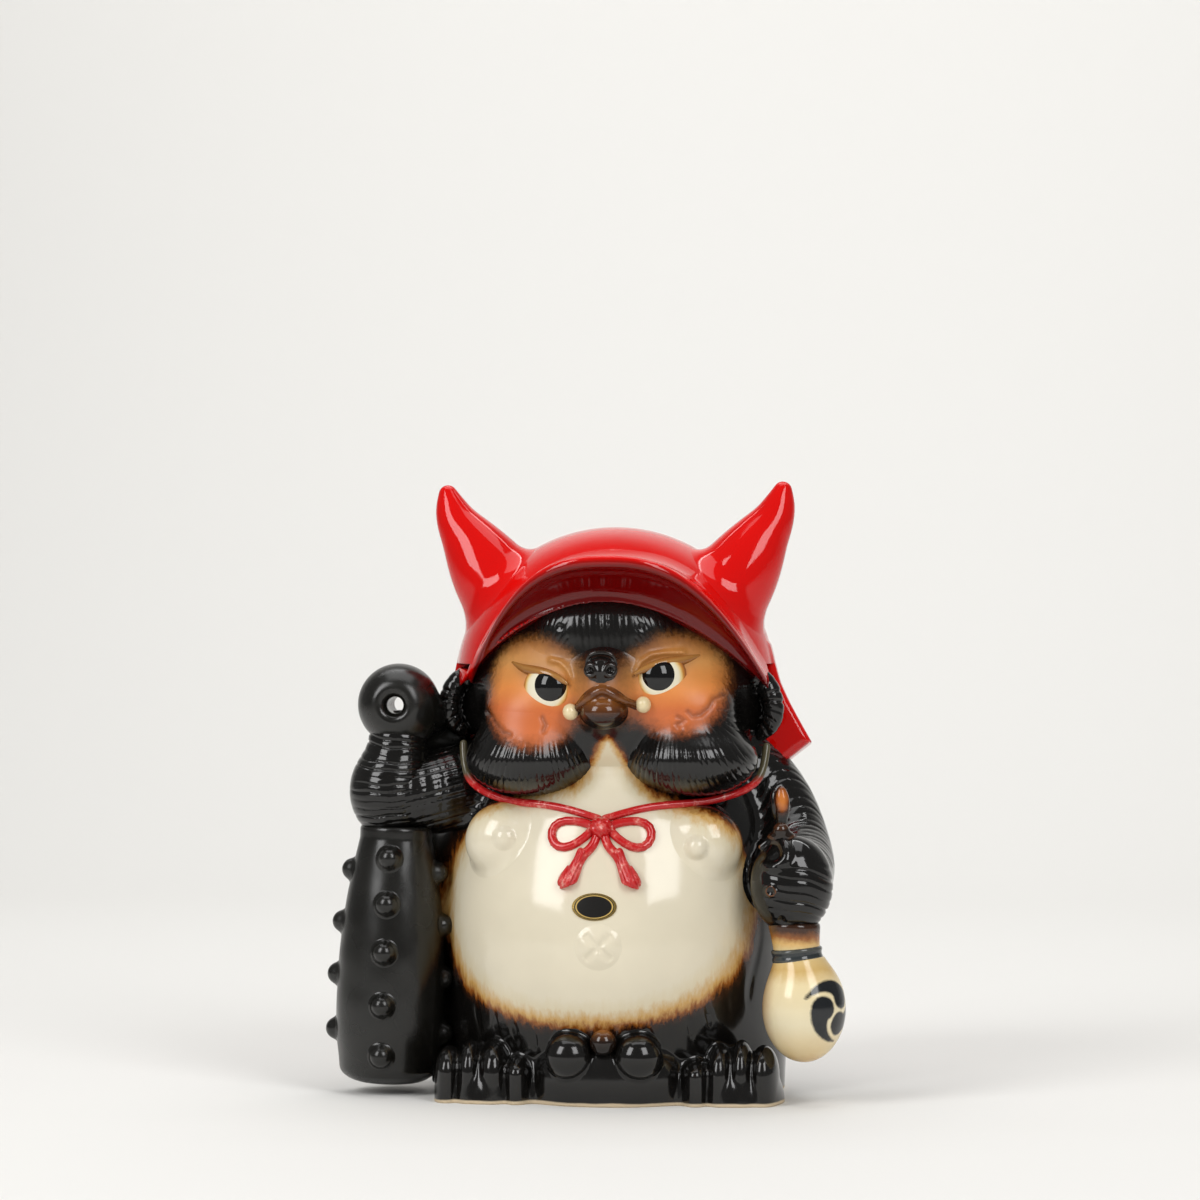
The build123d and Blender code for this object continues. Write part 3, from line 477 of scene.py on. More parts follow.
def face_coats(add, place):
    """Coats of the face: black, with the patches, the cheeks and the chin laid in, satin on the patches."""
    warm = frayed(add, place, "warm", 5.0, 60.0)
    tan = ramp_of(add, warm, ((-20, (0.44, 0.17, 0.035)), (-9, (0.66, 0.31, 0.085)), (3, (0.76, 0.26, 0.055)),
                              (13, (0.62, 0.150, 0.035))))
    dark = frayed(add, place, "dark", 0.10, 70.0)
    tan = blend_colours(add, fitted(add, dark, 0, 0.6, 0, 0.85), tan, (0.24, 0.080, 0.020))
    tan = blend_colours(add, fitted(add, dark, 0.55, 1, 0, 0.96), tan, (0.022, 0.008, 0.005))
    line = add("Attribute", attribute_name="line").outputs["Fac"]
    tan = blend_colours(add, fitted(add, line, 0, 1, 0, 0.6), tan, (0.22, 0.06, 0.02))
    edge = frayed(add, place, "patch", 3.4, 420.0)
    cover = ramp_of(add, edge, ((-3.5, (0, 0, 0)), (-1.0, (0.12,) * 3), (3.0, (0.72,) * 3), (7.5, (1, 1, 1))))
    colour = blend_colours(add, cover, glaze_black, tan)
    chin = frayed(add, place, "ivory", 2.2, 340.0)
    pale = ramp_of(add, chin, ((-3.0, glaze_black), (-1.0, glaze_umber), (0.6, glaze_rust), (2.4, glaze_honey),
                               (5.0, glaze_ivory)))
    show = ramp_of(add, chin, ((-3.0, (0, 0, 0)), (-2.0, (1, 1, 1))))
    return blend_colours(add, show, colour, pale), cover


face_glaze = dipped("face_glaze", face_coats, 0.15, mottle=0.08)
fire("head_face", head_form, (-76, -80, 129), (76, 3, 269), 1.0, face_glaze, "face_glaze", ["head_front"],
     face_paint, mould_front)
fire("head_nape", head_form, (-76, -3, 129), (76, 76, 269), 1.4, fur_glaze, "fur_glaze", ["head_back"],
     cuts=mould_back)

# Muzzle: a pad of clay pressed on between the eyes and smoothed out with a wet finger.
# Nose, lips and fangs are small sprigs on it: the nose has two curled nostrils under a ridge,
# and the lips pout round a small open mouth, brown and darker towards the bottom, with painted shade in the mouth.
muzzle_centre, muzzle_radii, muzzle_blend = (1.0, -63.5, 197), (15.5, 20.5, 21), 7
nose_centre, nose_radii = (0.8, -81.3, 207.4), (7.3, 4.6, 6.0)
nostril_apart, nostril_depth, nostril_height, nostril_radius, nostril_girth = 4.6, -84.7, 206.8, 2.5, 1.15


def sprig(form, base, blend, sink=0.3, deep=5.0):
    """A form smoothed out onto the skin that carries it, its feathered edge just under that skin."""
    def together(x, y, z):
        own, skin = form(x, y, z), base(x, y, z)
        width = blend(x) if callable(blend) else blend
        return shared(melt(own, skin + sink, width), own - width, -deep - skin, -z)
    return together


def rod_of(points, radii):
    """Form of one bar."""
    return lambda x, y, z: rod(x, y, z, points, radii)


def room_round(places, room):
    """Corners of the box that holds places with some room on all sides."""
    return [[pick(place[k] for place in places) + way * room for k in range(3)]
            for pick, way in ((min, -1), (max, 1))]


def head_outside(x, y, z):
    """Skin of the head with its cuts, filled solid."""
    return head_skin(x, y, z) + face_cuts(x, y, z)


muzzle_pad = egg_of(muzzle_centre, muzzle_radii)
fire("muzzle_pad", sprig(muzzle_pad, head_outside, muzzle_blend), (-34, -88, 166), (34, -50, 232), 0.7, face_glaze,
     "face_glaze", ["muzzle"], face_paint)


def face_base(x, y, z):
    """Head and muzzle as one skin."""
    return melt(muzzle_pad(x, y, z), head_outside(x, y, z) + 0.3, muzzle_blend)


def ring(x, y, z, centre, radius, girth, turn=0):
    """Ring of clay facing forward, turned a little to its side."""
    c, s = math.cos(math.radians(turn)), math.sin(math.radians(turn))
    x, y, z = x - centre[0], y - centre[1], z - centre[2]
    x, y = c * x + s * y, c * y - s * x
    return np.sqrt((np.sqrt(x ** 2 + z ** 2) - radius) ** 2 + y ** 2) - girth


def nose_form(x, y, z):
    """Nose: a pad with curled nostrils, a ridged bridge between them and a rim above."""
    form = egg(x, y, z, nose_centre, nose_radii)
    for side in (-1, 1):
        across = nose_centre[0] + nostril_apart * side
        curl = ring(x, y, z, (across, nostril_depth, nostril_height), nostril_radius, nostril_girth, 18 * side)
        form = melt(form, curl, 0.8)
        form = np.maximum(form, -egg(x, y, z, (across, nostril_depth - 1.9, nostril_height), (1.4, 2.6, 1.4)))
    for across in (-0.6, 0.8, 2.2):
        form = melt(form, rod(x, y, z, ((across, -84.0, 210.8), (across, -85.6, 206), (across, -83.4, 202)),
                              (0.6, 0.75, 0.4)), 0.8)
    rim, girths = eased(((-6.4, -80.6, 209.4), (-4.8, -82.0, 213.4), (0.8, -82.6, 215.2), (6.4, -82.0, 213.4),
                         (8.0, -80.6, 209.4)), (0.6, 1.0, 1.15, 1.0, 0.6), 16)
    return melt(form, rod(x, y, z, rim, girths), 1.4)


nose_glaze = dipped("nose_glaze", (0.008, 0.006, 0.005), 0.14, ((0.05, 0.03, 0.02), 0.8, 2.4))
fire("nose_sprig", sprig(nose_form, face_base, 1.6, 0.15), (-12, -92, 198), (13, -74, 220), 0.32, nose_glaze,
     "lip_glaze", ["nose"])

lip_ridge = eased(((-12.8, -74.5, 186.8), (-9.0, -79.5, 190.8), (-4.2, -83.0, 194.6), (1.2, -84.6, 197.2),
                   (6.8, -83.4, 195.2), (12.4, -79.8, 192.0), (17.0, -74.2, 189.8)),
                  (0.7, 1.3, 1.45, 1.2, 1.45, 1.3, 0.7), 30)
lip_pout, mouth = egg_of((1.2, -76.4, 187.0), (10.6, 10.4, 7.4)), egg_of((1.4, -86.4, 194.2), (4.8, 6.2, 2.3))


def lower_lip_form(x, y, z):
    """Pouting lower lip with the mouth opening above it."""
    return pare(lip_pout(x, y, z), -mouth(x, y, z), 1.0)


def lip_paint(x, y, z):
    """Height on the lips, for the brown that darkens downwards and the painted shade at the mouth."""
    return {"level": z - 0.012 * (x - 1) ** 2}


# The lip coats darken downwards, and the dark band at the mouth's height is painted shade in the opening.
lip_coats_and_mouth_shade = ((181.5, glaze_black), (184.5, (0.035, 0.011, 0.005)), (188.5, (0.12, 0.036, 0.007)),
             (192, (0.20, 0.066, 0.011)), (195, (0.10, 0.030, 0.008)), (199, (0.20, 0.070, 0.018)))
lip_glaze = dipped("lip_glaze", laid_along("level", 1.6, 240.0, lip_coats_and_mouth_shade), 0.12, mottle=0.1)
fire("upper_lip_sprig", sprig(rod_of(*lip_ridge), face_base, 3.0, 0.15), (-17, -92, 181), (22, -70, 203), 0.35,
     lip_glaze, "lip_glaze", ["upper_lip"], lip_paint)
fire("lower_lip_sprig", sprig(lower_lip_form, face_base, 2.5, 0.15), (-12, -92, 176), (19, -68, 200), 0.35,
     lip_glaze, "lip_glaze", ["lower_lip"], lip_paint)
fang_radii, fang_lean = (3.75, 4.6, 4.0), 12
fang_glaze = dipped("fang_glaze", (0.80, 0.63, 0.33), 0.12, ((0.85, 0.74, 0.50), 0.3, 0.8))
for side, centre in (("left", (-14.6, -74.6, 186.8)), ("right", (20.0, -72.8, 190.3))):
    fire("fang_" + side + "_sprig", egg_of(centre, fang_radii, fang_lean), *room_round([centre], 6), 0.3,
         fang_glaze, "cream_glaze", ["fang_" + side])

# Eyes: low domes of clay glazed cream, with an orange line where the glaze pooled round them,
# black discs for the pupils, and a leaf-shaped lid drawn over the top of each so that it glares.


def lens(carrier, carrier_radius, toward, rim, proud):
    """Ball that stands proud of a round skin and meets it in a circle."""
    carrier, toward = np.array(carrier, float), np.array(toward, float)
    out = (toward - carrier) / np.linalg.norm(toward - carrier)
    rise = carrier_radius - math.sqrt(carrier_radius ** 2 - rim ** 2) + proud
    radius = (rim ** 2 + rise ** 2) / (2 * rise)
    return carrier + out * (carrier_radius + proud - radius), radius


def front_of(skin, x, z, near=-95.0, far=-30.0):
    """Depth at which a look from the front meets a skin."""
    for _ in range(40):
        middle = (near + far) / 2
        if float(skin(np.float64(x), np.float64(middle), np.float64(z))) < 0:
            far = middle
        else:
            near = middle
    return (near + far) / 2


eye_proud, pupil_rim, pupil_proud, pupil_thick, lid_reach = 3.2, 7.7, 1.3, 0.6, 0.8
eye_coats = ((0.0, (0.88, 0.85, 0.72)), (9.0, (0.86, 0.80, 0.60)), (10.2, (0.84, 0.62, 0.26)),
             (11.0, (0.62, 0.26, 0.045)), (12.2, (0.30, 0.10, 0.03)))
# The lid's coats paint shade dark along its lower edge and a painted highlight just above its middle.
lid_light_and_shade_coats = ((-3.2, (0.10, 0.030, 0.008)), (-1.4, (0.30, 0.115, 0.022)), (0.8, (0.44, 0.21, 0.055)),
             (2.6, (0.34, 0.13, 0.03)))
eye_glaze = dipped("eye_glaze", laid_along("round", 0.35, 300.0, eye_coats), 0.07, mottle=0.03)
pupil_glaze = dipped("pupil_glaze", (0.003, 0.003, 0.003), 0.04, mottle=0.1)
lid_shaded_glaze = dipped("lid_shaded_glaze", laid_along("level", 0.5, 200.0, lid_light_and_shade_coats), 0.13)
eye_plans = {
    "left": ((-26.6, 198.0), 11.3, (-24.3, 199.7),
             ((-44.5, 210.2, 0.6, 0.5), (-38.5, 207.4, 1.8, 2.0), (-32, 206.0, 2.9, 2.6), (-26, 204.8, 3.7, 2.4),
              (-20.5, 202.8, 3.8, 1.8), (-16.2, 200.2, 2.6, 0.8))),
    "right": ((28.2, 203.4), 11.9, (27.4, 204.8),
              ((45.5, 213.6, 0.6, 0.5), (39, 211.6, 1.8, 2.1), (32.5, 210.4, 3.0, 2.7), (26, 209.0, 3.8, 2.5),
               (20.8, 207.2, 3.8, 1.8), (16.4, 205.0, 2.6, 0.8))),
}
for side, (eye_at, eye_rim, pupil_at, lid_stations) in eye_plans.items():
    seat = (eye_at[0], front_of(face_base, *eye_at) - 1.0, eye_at[1])
    gaze = np.array((seat[0] * 0.55, seat[1], (seat[2] - 196) * 0.5))
    ball, ball_radius = lens(seat - 60 * gaze / np.linalg.norm(gaze), 60, seat, eye_rim, eye_proud)
    disc_seat = np.array((pupil_at[0], ball[1] - math.sqrt(ball_radius ** 2 - (pupil_at[0] - ball[0]) ** 2
                                                            - (pupil_at[1] - ball[2]) ** 2), pupil_at[1]))
    disc, disc_radius = lens(ball, ball_radius, disc_seat, pupil_rim, pupil_proud)
    lid_across, lid_heights = zip(*sorted((s[0], s[1]) for s in lid_stations))

    def eye_white(x, y, z):
        """Whole ball that the white is part of."""
        return np.sqrt((x - ball[0]) ** 2 + (y - ball[1]) ** 2 + (z - ball[2]) ** 2) - ball_radius

    def above_lid(x, z):
        """Height over the line up to which white and pupil show under the lid."""
        return z - np.interp(x, lid_across, lid_heights) - lid_reach

    def eye_form(x, y, z):
        """Dome of the white, up to the lid."""
        return shared(eye_white(x, y, z), above_lid(x, z), np.hypot(x - eye_at[0], z - eye_at[1]) - eye_rim)

    def eye_paint(x, y, z):
        """Distance from the middle of the white, seen from the front."""
        return {"round": np.hypot((x - eye_at[0]) / 0.96, z - eye_at[1])}

    def disc_form(x, y, z):
        """Thin disc of the pupil, up to the lid."""
        thick = np.sqrt((x - disc[0]) ** 2 + (y - disc[1]) ** 2 + (z - disc[2]) ** 2) - disc_radius
        return shared(thick, -pupil_thick - eye_white(x, y, z), above_lid(x, z))

    fire("eye_" + side + "_dome", eye_form, (seat[0] - 13, seat[1] - 5, seat[2] - 12.5),
         (seat[0] + 13, seat[1] + 14, seat[2] + 12.5), 0.45, eye_glaze, "cream_glaze", ["eye_" + side], eye_paint)
    fire("pupil_" + side + "_disc", disc_form, disc_seat - (9, 3, 9), disc_seat + (9, 4, 9), 0.35, pupil_glaze,
         "pupil_glaze", ["pupil_" + side])
    lid_line, lid_girths = eased([(s[0], front_of(face_base, s[0], s[1]) - s[2] + s[3] * 0.4, s[1])
                                  for s in lid_stations], [s[3] for s in lid_stations], 26)

    def lid_shading_paint(x, y, z):
        """Height across the lid, from its lower edge up, for the painted shade along that edge and the painted
        highlight above it.
        """
        return {"level": z - np.interp(x, lid_across, lid_heights)}

    fire("brow_" + side + "_leaf", rod_of(lid_line, lid_girths), *room_round(lid_line, 4), 0.4, lid_shaded_glaze,
         "cream_glaze", ["brow_" + side], lid_shading_paint)

# Forelock and jowls: thick tufts of clay laid on the head, combed with a toothed tool.
# The forelock shows under the helmet, and the jowls hang over the chest on both sides.
# Both are glazed black.


def combed(along, pitch, depth, wander=0.0):
    """Furrows of a toothed tool, some deeper than others."""
    turn = 2 * math.pi * along / pitch + wander
    deep = 0.65 + 0.35 * np.sin(turn / 3.1 + 1.0)
    return depth * deep * np.clip(np.cos(turn), 0, 1) ** 1.5


forelock_centre, forelock_radii = (-0.5, -60.5, 229), (27, 10.5, 11)


def forelock_form(x, y, z):
    """Swollen forelock with upright furrows and a dot punched at each end."""
    tuft = egg(x, y, z, forelock_centre, forelock_radii)
    furrows = combed(x, 3.1, 0.7, 0.12 * (z - 229)) * np.exp(-(x / 15) ** 4) * np.clip((z - 217) / 8, 0, 1)
    return tuft + furrows + 0.9 * np.exp(-((np.abs(x + 0.5) - 19.5) ** 2 + (z - 227) ** 2) / 2.2)


fire("forelock_tuft", sprig(forelock_form, head_outside, 14), (-44, -80, 204), (44, -40, 250), 0.6, face_glaze,
     "fur_glaze", ["forelock"], face_paint)


def jowl_paint(x, y, z):
    """Marks of the face without the ivory."""
    return {**face_paint(x, y, z), "ivory": np.full(len(x), -30.0)}


def jowl_blend(x):
    """How far a jowl runs out onto the cheek, least towards the chin."""
    return np.interp(np.abs(x - 3), (8, 30), (2.5, 13))


jowl_radii = (31.5, 33, 18.5)
for side, across, high_from in (("left", -36.5, -30), ("right", 41.5, 34)):
    def jowl_form(x, y, z):
        """Hanging jowl with fine furrows that fan out from the cheek."""
        tuft = egg(x, y, z, (across, -48, 163.5), jowl_radii)
        turn = np.arctan2(x - high_from, 214 - z)
        return tuft + combed(turn * 50, 2.35, 0.5, 0.05 * (z - 160)) * np.clip((174 - z) / 9, 0, 1) * (y < -20)
    fire("jowl_" + side + "_tuft", sprig(jowl_form, head_outside, jowl_blend), (across - 40, -86, 139),
         (across + 40, -6, 196), 0.6, face_glaze, "fur_glaze", ["jowl_" + side], jowl_paint)

# Helmet: bowl, visor and neck guard thrown up in the same clay round the head and glazed signal red.
# The visor's rim is rolled, its underside hollowed, and the guard flares to a hem that drops behind.
# Horns are pulled clay, luted on and smoothed into the bowl.
helmet_centre, helmet_radii, guard_top, guard_front = (-0.5, 0, 199), (78.6, 79.5, 77), 209, -6
guard_drops = (-0.6, -0.3, 0, 0.25, 0.5, 0.75, 1.0, 1.4)
guard_half_widths = (70, 74, 77.6, 81.2, 85.6, 90.8, 96.2, 96.2)
guard_depths = (72, 75, 78.2, 80.4, 82.6, 85, 87.4, 87.4)
arch_top, arch_middle, visor_middle, visor_half_width = 239.2, 1.5, 4, 72
helmet_red = (0.66, 0.002, 0.001)
helmet_glaze = dipped("helmet_glaze", helmet_red, 0.07, ((0.46, 0.004, 0.001), 0.8, 2.5), mottle=0.06)
# The visor's coats darken the red towards its underside: painted shade under the visor.
visor_shade_coats = ((0.8, (0.17, 0.001, 0.001)), (2.6, (0.34, 0.002, 0.001)), (4.0, helmet_red))
visor_shaded_glaze = dipped("visor_shaded_glaze", laid_along("under", 0.5, 60.0, visor_shade_coats), 0.07, mottle=0.06)
for glaze in (helmet_glaze, visor_shaded_glaze):
    glaze.node_tree.nodes["Principled BSDF"].inputs["IOR"].default_value = 1.45


def guard_flare(x, y, z):
    """Neck guard as a solid flare, its hem tilted down behind and turned under."""
    hem = 170.5 - 0.14 * y
    drop = (guard_top - z) / (guard_top - hem)
    under = np.maximum(hem - z, 0)
    width = np.interp(drop, guard_drops, guard_half_widths) - 1.25 * under
    depth = np.interp(drop, guard_drops, guard_depths) - 1.25 * under
    flare = oval(x, y, width, depth) * 0.86
    return np.maximum(pare(pare(flare, guard_front - y, 3.5), hem - 11 - z, 3), z - guard_top - 8)


bowl_outside = melted(4, egg_of(helmet_centre, helmet_radii), guard_flare)
helmet_inside = egg_of(head_centre, [r - 2 for r in head_radii])


def arch_height(x):
    """Height of the arch over the face."""
    return arch_top - 29.5 * ((x - arch_middle) / 64) ** 2


def arch_gap(x, y, z):
    """Opening of the bowl over the face, below an arch."""
    return np.maximum(z - arch_height(x), y)


def bowl_form(x, y, z):
    """Bowl of the helmet down to the guard, without the face opening."""
    shell = pare(np.maximum(bowl_outside(x, y, z), guard_top - 4 - z), -arch_gap(x, y, z), 1.5)
    return np.maximum(shell, -helmet_inside(x, y, z))


def guard_form(x, y, z):
    """Neck guard below the bowl."""
    return shared(bowl_outside(x, y, z), z - guard_top - 4, guard_front - y, -helmet_inside(x, y, z))


def visor_under(x, y, z):
    """Underside of the visor, a sheet that runs forward and up from the arch and is hollowed."""
    share = np.clip(np.abs(x - visor_middle) / visor_half_width, 0, 1.02)
    rim = 60 * share ** 3 - 94.6
    rim_low = 255.4 - 56 * share ** 2.6
    root, root_low = 0.63 * rim, arch_height(x) - 1
    below_y, below_z = root - rim, root_low - rim_low
    length = np.sqrt(below_y ** 2 + below_z ** 2)
    under = ((z - rim_low) * below_y - (y - rim) * below_z) / -length
    hollow = np.clip((y - rim) / (root - rim), 0, 1)
    return share, rim, rim_low, under + 3.2 * np.sin(math.pi * hollow) * (1 - share ** 4)


def visor_form(x, y, z):
    """Visor: a thin wedge on that underside, with a rolled rim."""
    share, rim, rim_low, under = visor_under(x, y, z)
    rim_high = rim_low + 5.5 * (1 - 0.6 * share ** 2)
    back, back_high = 0.42 * rim, rim_low + 4.2
    top_y, top_z = back - rim, back_high - rim_high
    length = np.sqrt(top_y ** 2 + top_z ** 2)
    top = ((z - rim_high) * top_y - (y - rim) * top_z) / length
    sheet = pare(pare(under, top, 2.0), rim + 0.8 - y, 2.4)
    roll = np.sqrt((y - rim - 2.6) ** 2 + (z - (rim_low + rim_high) / 2) ** 2) - (2.7 - 1.1 * share ** 2)
    sheet = melt(sheet, roll, 1.2)
    return shared(sheet, y - back, np.abs(x - visor_middle) - visor_half_width)


def visor_shade_paint(x, y, z):
    """Height above the visor's underside, where the red is darkened as painted shade."""
    return {"under": -visor_under(x, y, z)[3]}


def visor_joined(x, y, z):
    """Visor smoothed into the bowl from above, kept clear of the face."""
    own = visor_form(x, y, z)
    bowl = np.maximum(bowl_outside(x, y, z) + 0.3, -arch_gap(x, y, z))
    return np.maximum(melt(own, bowl, 7), own - 7)


fire("helmet_bowl_shell", bowl_form, (-84, -80, 204), (84, 84, 277), 1.1, helmet_glaze, "helmet_glaze",
     ["helmet_bowl"], cuts=(((0, 0, guard_top), (0, 0, -1)),))
fire("neck_guard_flare", guard_form, (-100, -8, 146), (100, 92, 214), 1.2, helmet_glaze, "helmet_glaze",
     ["neck_guard"], cuts=(((0, 0, guard_top), (0, 0, 1)),))
fire("helmet_visor", visor_joined, (-80, -97, 196), (80, -20, 268), 0.9, visor_shaded_glaze, "helmet_glaze",
     ["helmet_brim"], visor_shade_paint)

horn_stations = ((53.5, 242, 22.0), (60.5, 252, 19.8), (67.0, 262, 16.5), (72.2, 270, 13.3), (77.2, 277.5, 10.5),
                 (80.6, 285, 7.9), (82.6, 292.6, 4.6))
for side, sign, top in (("left", -1, -0.6), ("right", 1, 0.9)):
    horn_bar = eased([(sign * s[0], -10, s[1] + top * (s[1] - 240) / 58) for s in horn_stations],
                     [s[2] for s in horn_stations], 56)
    edges = sorted((sign * 18, sign * 91))
    fire("horn_" + side + "_pulled", sprig(rod_of(*horn_bar), bowl_outside, 8), (edges[0], -46, 212),
         (edges[1], 28, 299), 0.8, helmet_glaze, "helmet_glaze", ["horn_" + side])

# Ears: thick curled rims of clay beside the cheeks, hollow in the middle, notched all along the rim
# to look like tufts. They are pressed onto the head and glazed with the rest of the black fur.
ear_curls = {
    "left": ((-66, 205.5), (-73.5, 202.5), (-79.0, 195), (-80.2, 187), (-78.4, 180.5), (-74, 176)),
    "right": ((63.5, 206.5), (71.5, 203.0), (77.0, 195.5), (78.6, 187.5), (77.2, 180), (72.5, 174.5)),
}
for side, curl in ear_curls.items():
    rope = eased([(x, -19 - 2.5 * math.sin(math.pi * k / 5), z) for k, (x, z) in enumerate(curl)],
                 (2.6, 4.5, 5.3, 5.3, 4.8, 3.2), 26)
    middle = (-70.5 if side == "left" else 69.5, -12, 190)

    def ear_form(x, y, z):
        """Curled rim, notched like rope, and the web behind it."""
        turn = np.arctan2(z - middle[2], np.abs(x) - abs(middle[0]) + 2)
        inner = np.clip((19 - np.hypot(x - middle[0], z - middle[2])) / 5, 0, 1)
        notch = combed(turn * 15, 5.4, 0.75, 0.25 * (y + 20)) * inner
        rim = rod(x, y, z, *rope) + notch
        return melt(rim, egg(x, y, z, middle, (9.5, 6.5, 16)), 2.5)
    fire("ear_" + side + "_curl", sprig(ear_form, head_outside, 4), (middle[0] - 16, -28, 168),
         (middle[0] + 16, -2, 213), 0.5, fur_glaze, "fur_glaze", ["ear_" + side])

# Left arm, fist and club: the arm reaches forward from the shoulder, and the fist holds the club's neck.
# The club is a tapered round casting with rows of blunt studs and a bored ball on top.
# Arm and fist are combed with furrows, and the club is left with the skin of its mould.
body_outside = melted(6, body_skin, head_skin)
arm_left_bar = eased(((-55.4, -4.4, 151.3), (-73, -16.7, 148.6), (-89.9, -27.3, 146), (-101.6, -33, 146)),
                     (22, 22, 20.2, 18), 10)
grip_and_wrist = melted(4, egg_of((-108, -33, 147), (19.6, 20.6, 23.6)),
                        rod_of(((-103.8, -33, 172), (-104.5, -33, 158)), (14.5, 17)))


def arm_left_form(x, y, z):
    """Upper arm with furrows that run round it."""
    return rod(x, y, z, *arm_left_bar) + combed(z - 0.3 * x, 3.6, 0.6, 0.05 * x) * (y < -12)


def fist_left_form(x, y, z):
    """Fist with level furrows that fan out from the wrist."""
    fan = (z - 147) * (1 + 0.006 * (x + 90))
    wave = 0.9 * np.sin(0.16 * x) + 0.5 * np.sin(0.4 * x + 0.3 * z)
    return grip_and_wrist(x, y, z) + combed(fan, 3.3, 0.75, wave) * np.clip((x + 128) / 10, 0.15, 1)


fire("arm_left_upper", sprig(arm_left_form, body_outside, 7), (-104, -56, 118), (-34, 24, 178), 0.8, fur_glaze,
     "fur_glaze", ["arm_left"])
fire("fist_left_grip", fist_left_form, (-130, -56, 121), (-84, -10, 188), 0.6, fur_glaze, "fur_glaze",
     ["fist_left"])
pommel_centre, pommel_radius, bore_radius, bore_flare = (-103.5, -33, 189.04), 20, 4.0, 9
pommel_bridges = ((((-97, -31, 184), (-91.5, -25, 184)), (14, 10.5)), (((-92, -14, 181), (-80, -8, 182)), (11, 9)),
                  (((-94, -16, 171), (-79, -11, 172)), (8, 7.5)))
pommel_ball = melted(5, egg_of(pommel_centre, (pommel_radius,) * 3), *(rod_of(*bridge) for bridge in pommel_bridges))


def pommel_form(x, y, z):
    """Ball and its bridges to the ear, with a flared hole bored through from front to back."""
    away = np.sqrt((x - pommel_centre[0]) ** 2 + (z - pommel_centre[2]) ** 2)
    return pare(pommel_ball(x, y, z), bore_radius - away, bore_flare)


club_glaze = dipped("club_glaze", (0.008, 0.0075, 0.006), 0.25, (glaze_umber, 0.7, 1.8), mottle=0.3)
fire("club_pommel_ball", pommel_form, (-125, -55, 162), (-70, 4, 211), 0.65, club_glaze, "fur_glaze",
     ["club_pommel"])
club_foot, club_lean, club_length = (-109.03, -33, 5), math.radians(2), 119
club_heights = (0, 0.03, 0.075, 0.2, 0.33, 0.52, 0.70, 0.86, 1.0)
club_girths = (19.5, 22.6, 24.0, 25.9, 26.3, 25.7, 23.8, 20.8, 17.6)


def club_place(x, z):
    """Distance from the club's own axis and height along it."""
    across, up = x - club_foot[0], z - club_foot[2]
    return (across * math.cos(club_lean) - up * math.sin(club_lean),
            across * math.sin(club_lean) + up * math.cos(club_lean))


def club_form(x, y, z):
    """Tapered club, rounded at its foot."""
    across, up = club_place(x, z)
    girth = np.interp(up, np.linspace(0, club_length, 60),
                      curve_through(club_heights, club_girths, np.linspace(0, 1, 60)))
    round_form = (np.sqrt(across ** 2 + (y - club_foot[1]) ** 2) - girth) * 0.98
    dents = 0.07 * np.sin(0.31 * z + 0.5 * np.sin(0.2 * x)) * np.sin(0.27 * x + 0.23 * y)
    return pare(pare(round_form + dents, -up, 8), up - club_length - 6, 2)


stud_radius, stud_blend = 5.4, 3
even_row, odd_row = (0.925, 0.74, 0.545, 0.33, 0.125), (0.865, 0.65, 0.435, 0.21)
stud_rows, stud_places = ((0, even_row), (-90, odd_row), (90, odd_row), (180, even_row)), []
for row_turn, row_heights in stud_rows:
    for share in row_heights:
        girth = float(curve_through(club_heights, club_girths, np.array([share]))[0])
        out, up = math.radians(row_turn), club_length * share
        across = girth * math.sin(out)
        stud_places.append((club_foot[0] + across * math.cos(club_lean) + up * math.sin(club_lean),
                            club_foot[1] - girth * math.cos(out),
                            club_foot[2] - across * math.sin(club_lean) + up * math.cos(club_lean)))


def studs_form(x, y, z):
    """Blunt studs: balls of clay half sunk in the club."""
    return functools.reduce(np.minimum, (egg(x, y, z, place, (stud_radius,) * 3) for place in stud_places))


club_low, club_high = (-140, -66, 4), (-74, 2, 130)
fire("club_shaft_body", club_form, club_low, club_high, 0.8, club_glaze, "fur_glaze", ["club_shaft"])
fire("club_stud_rows", sprig(studs_form, club_form, stud_blend, 0.2), club_low, club_high, 0.6, club_glaze,
     "fur_glaze", ["club_studs"])

# Right arm, fist, toggle and pouch: the arm bends down and forward, and the fist holds the pouch's cords.
# A bead and an orange toggle sit on the fist. The pouch hangs below it: a plain mouth, a dark tie
# and a round ivory bag with a three-comma crest brushed on its side.
arm_right_bar = eased(((58.8, 2.6, 158.4), (75.6, -2.6, 140.6), (84.8, -13.2, 121.9), (89, -31.7, 110.4),
                       (89, -52.8, 106.8)), (22, 20.9, 20.5, 20, 18.9), 14)


def arm_right_form(x, y, z):
    """Arm with furrows that run down it."""
    strokes = combed(y - 0.8 * (x - 80), 4.0, 0.45, 0.08 * z)
    return rod(x, y, z, *arm_right_bar) + strokes * (z > 112)


fist_centre, fist_radii = (89.9, -61.6, 104.7), (19.7, 18.6, 23.7)
curl_places = ((75.5, 122.6), (80.0, 125.6), (85.0, 125.4), (88.2, 121.6), (87.6, 116.6), (83.4, 114.0),
               (77.4, 114.6))
fist_curl = eased([(x, fist_centre[1] + 0.7 - fist_radii[1] * math.sqrt(max(
    1 - ((x - fist_centre[0]) / fist_radii[0]) ** 2 - ((z - fist_centre[2]) / fist_radii[2]) ** 2, 0.05)), z)
                   for x, z in curl_places], (1.2, 2.2, 2.6, 2.7, 2.6, 2.3, 1.3), 24)


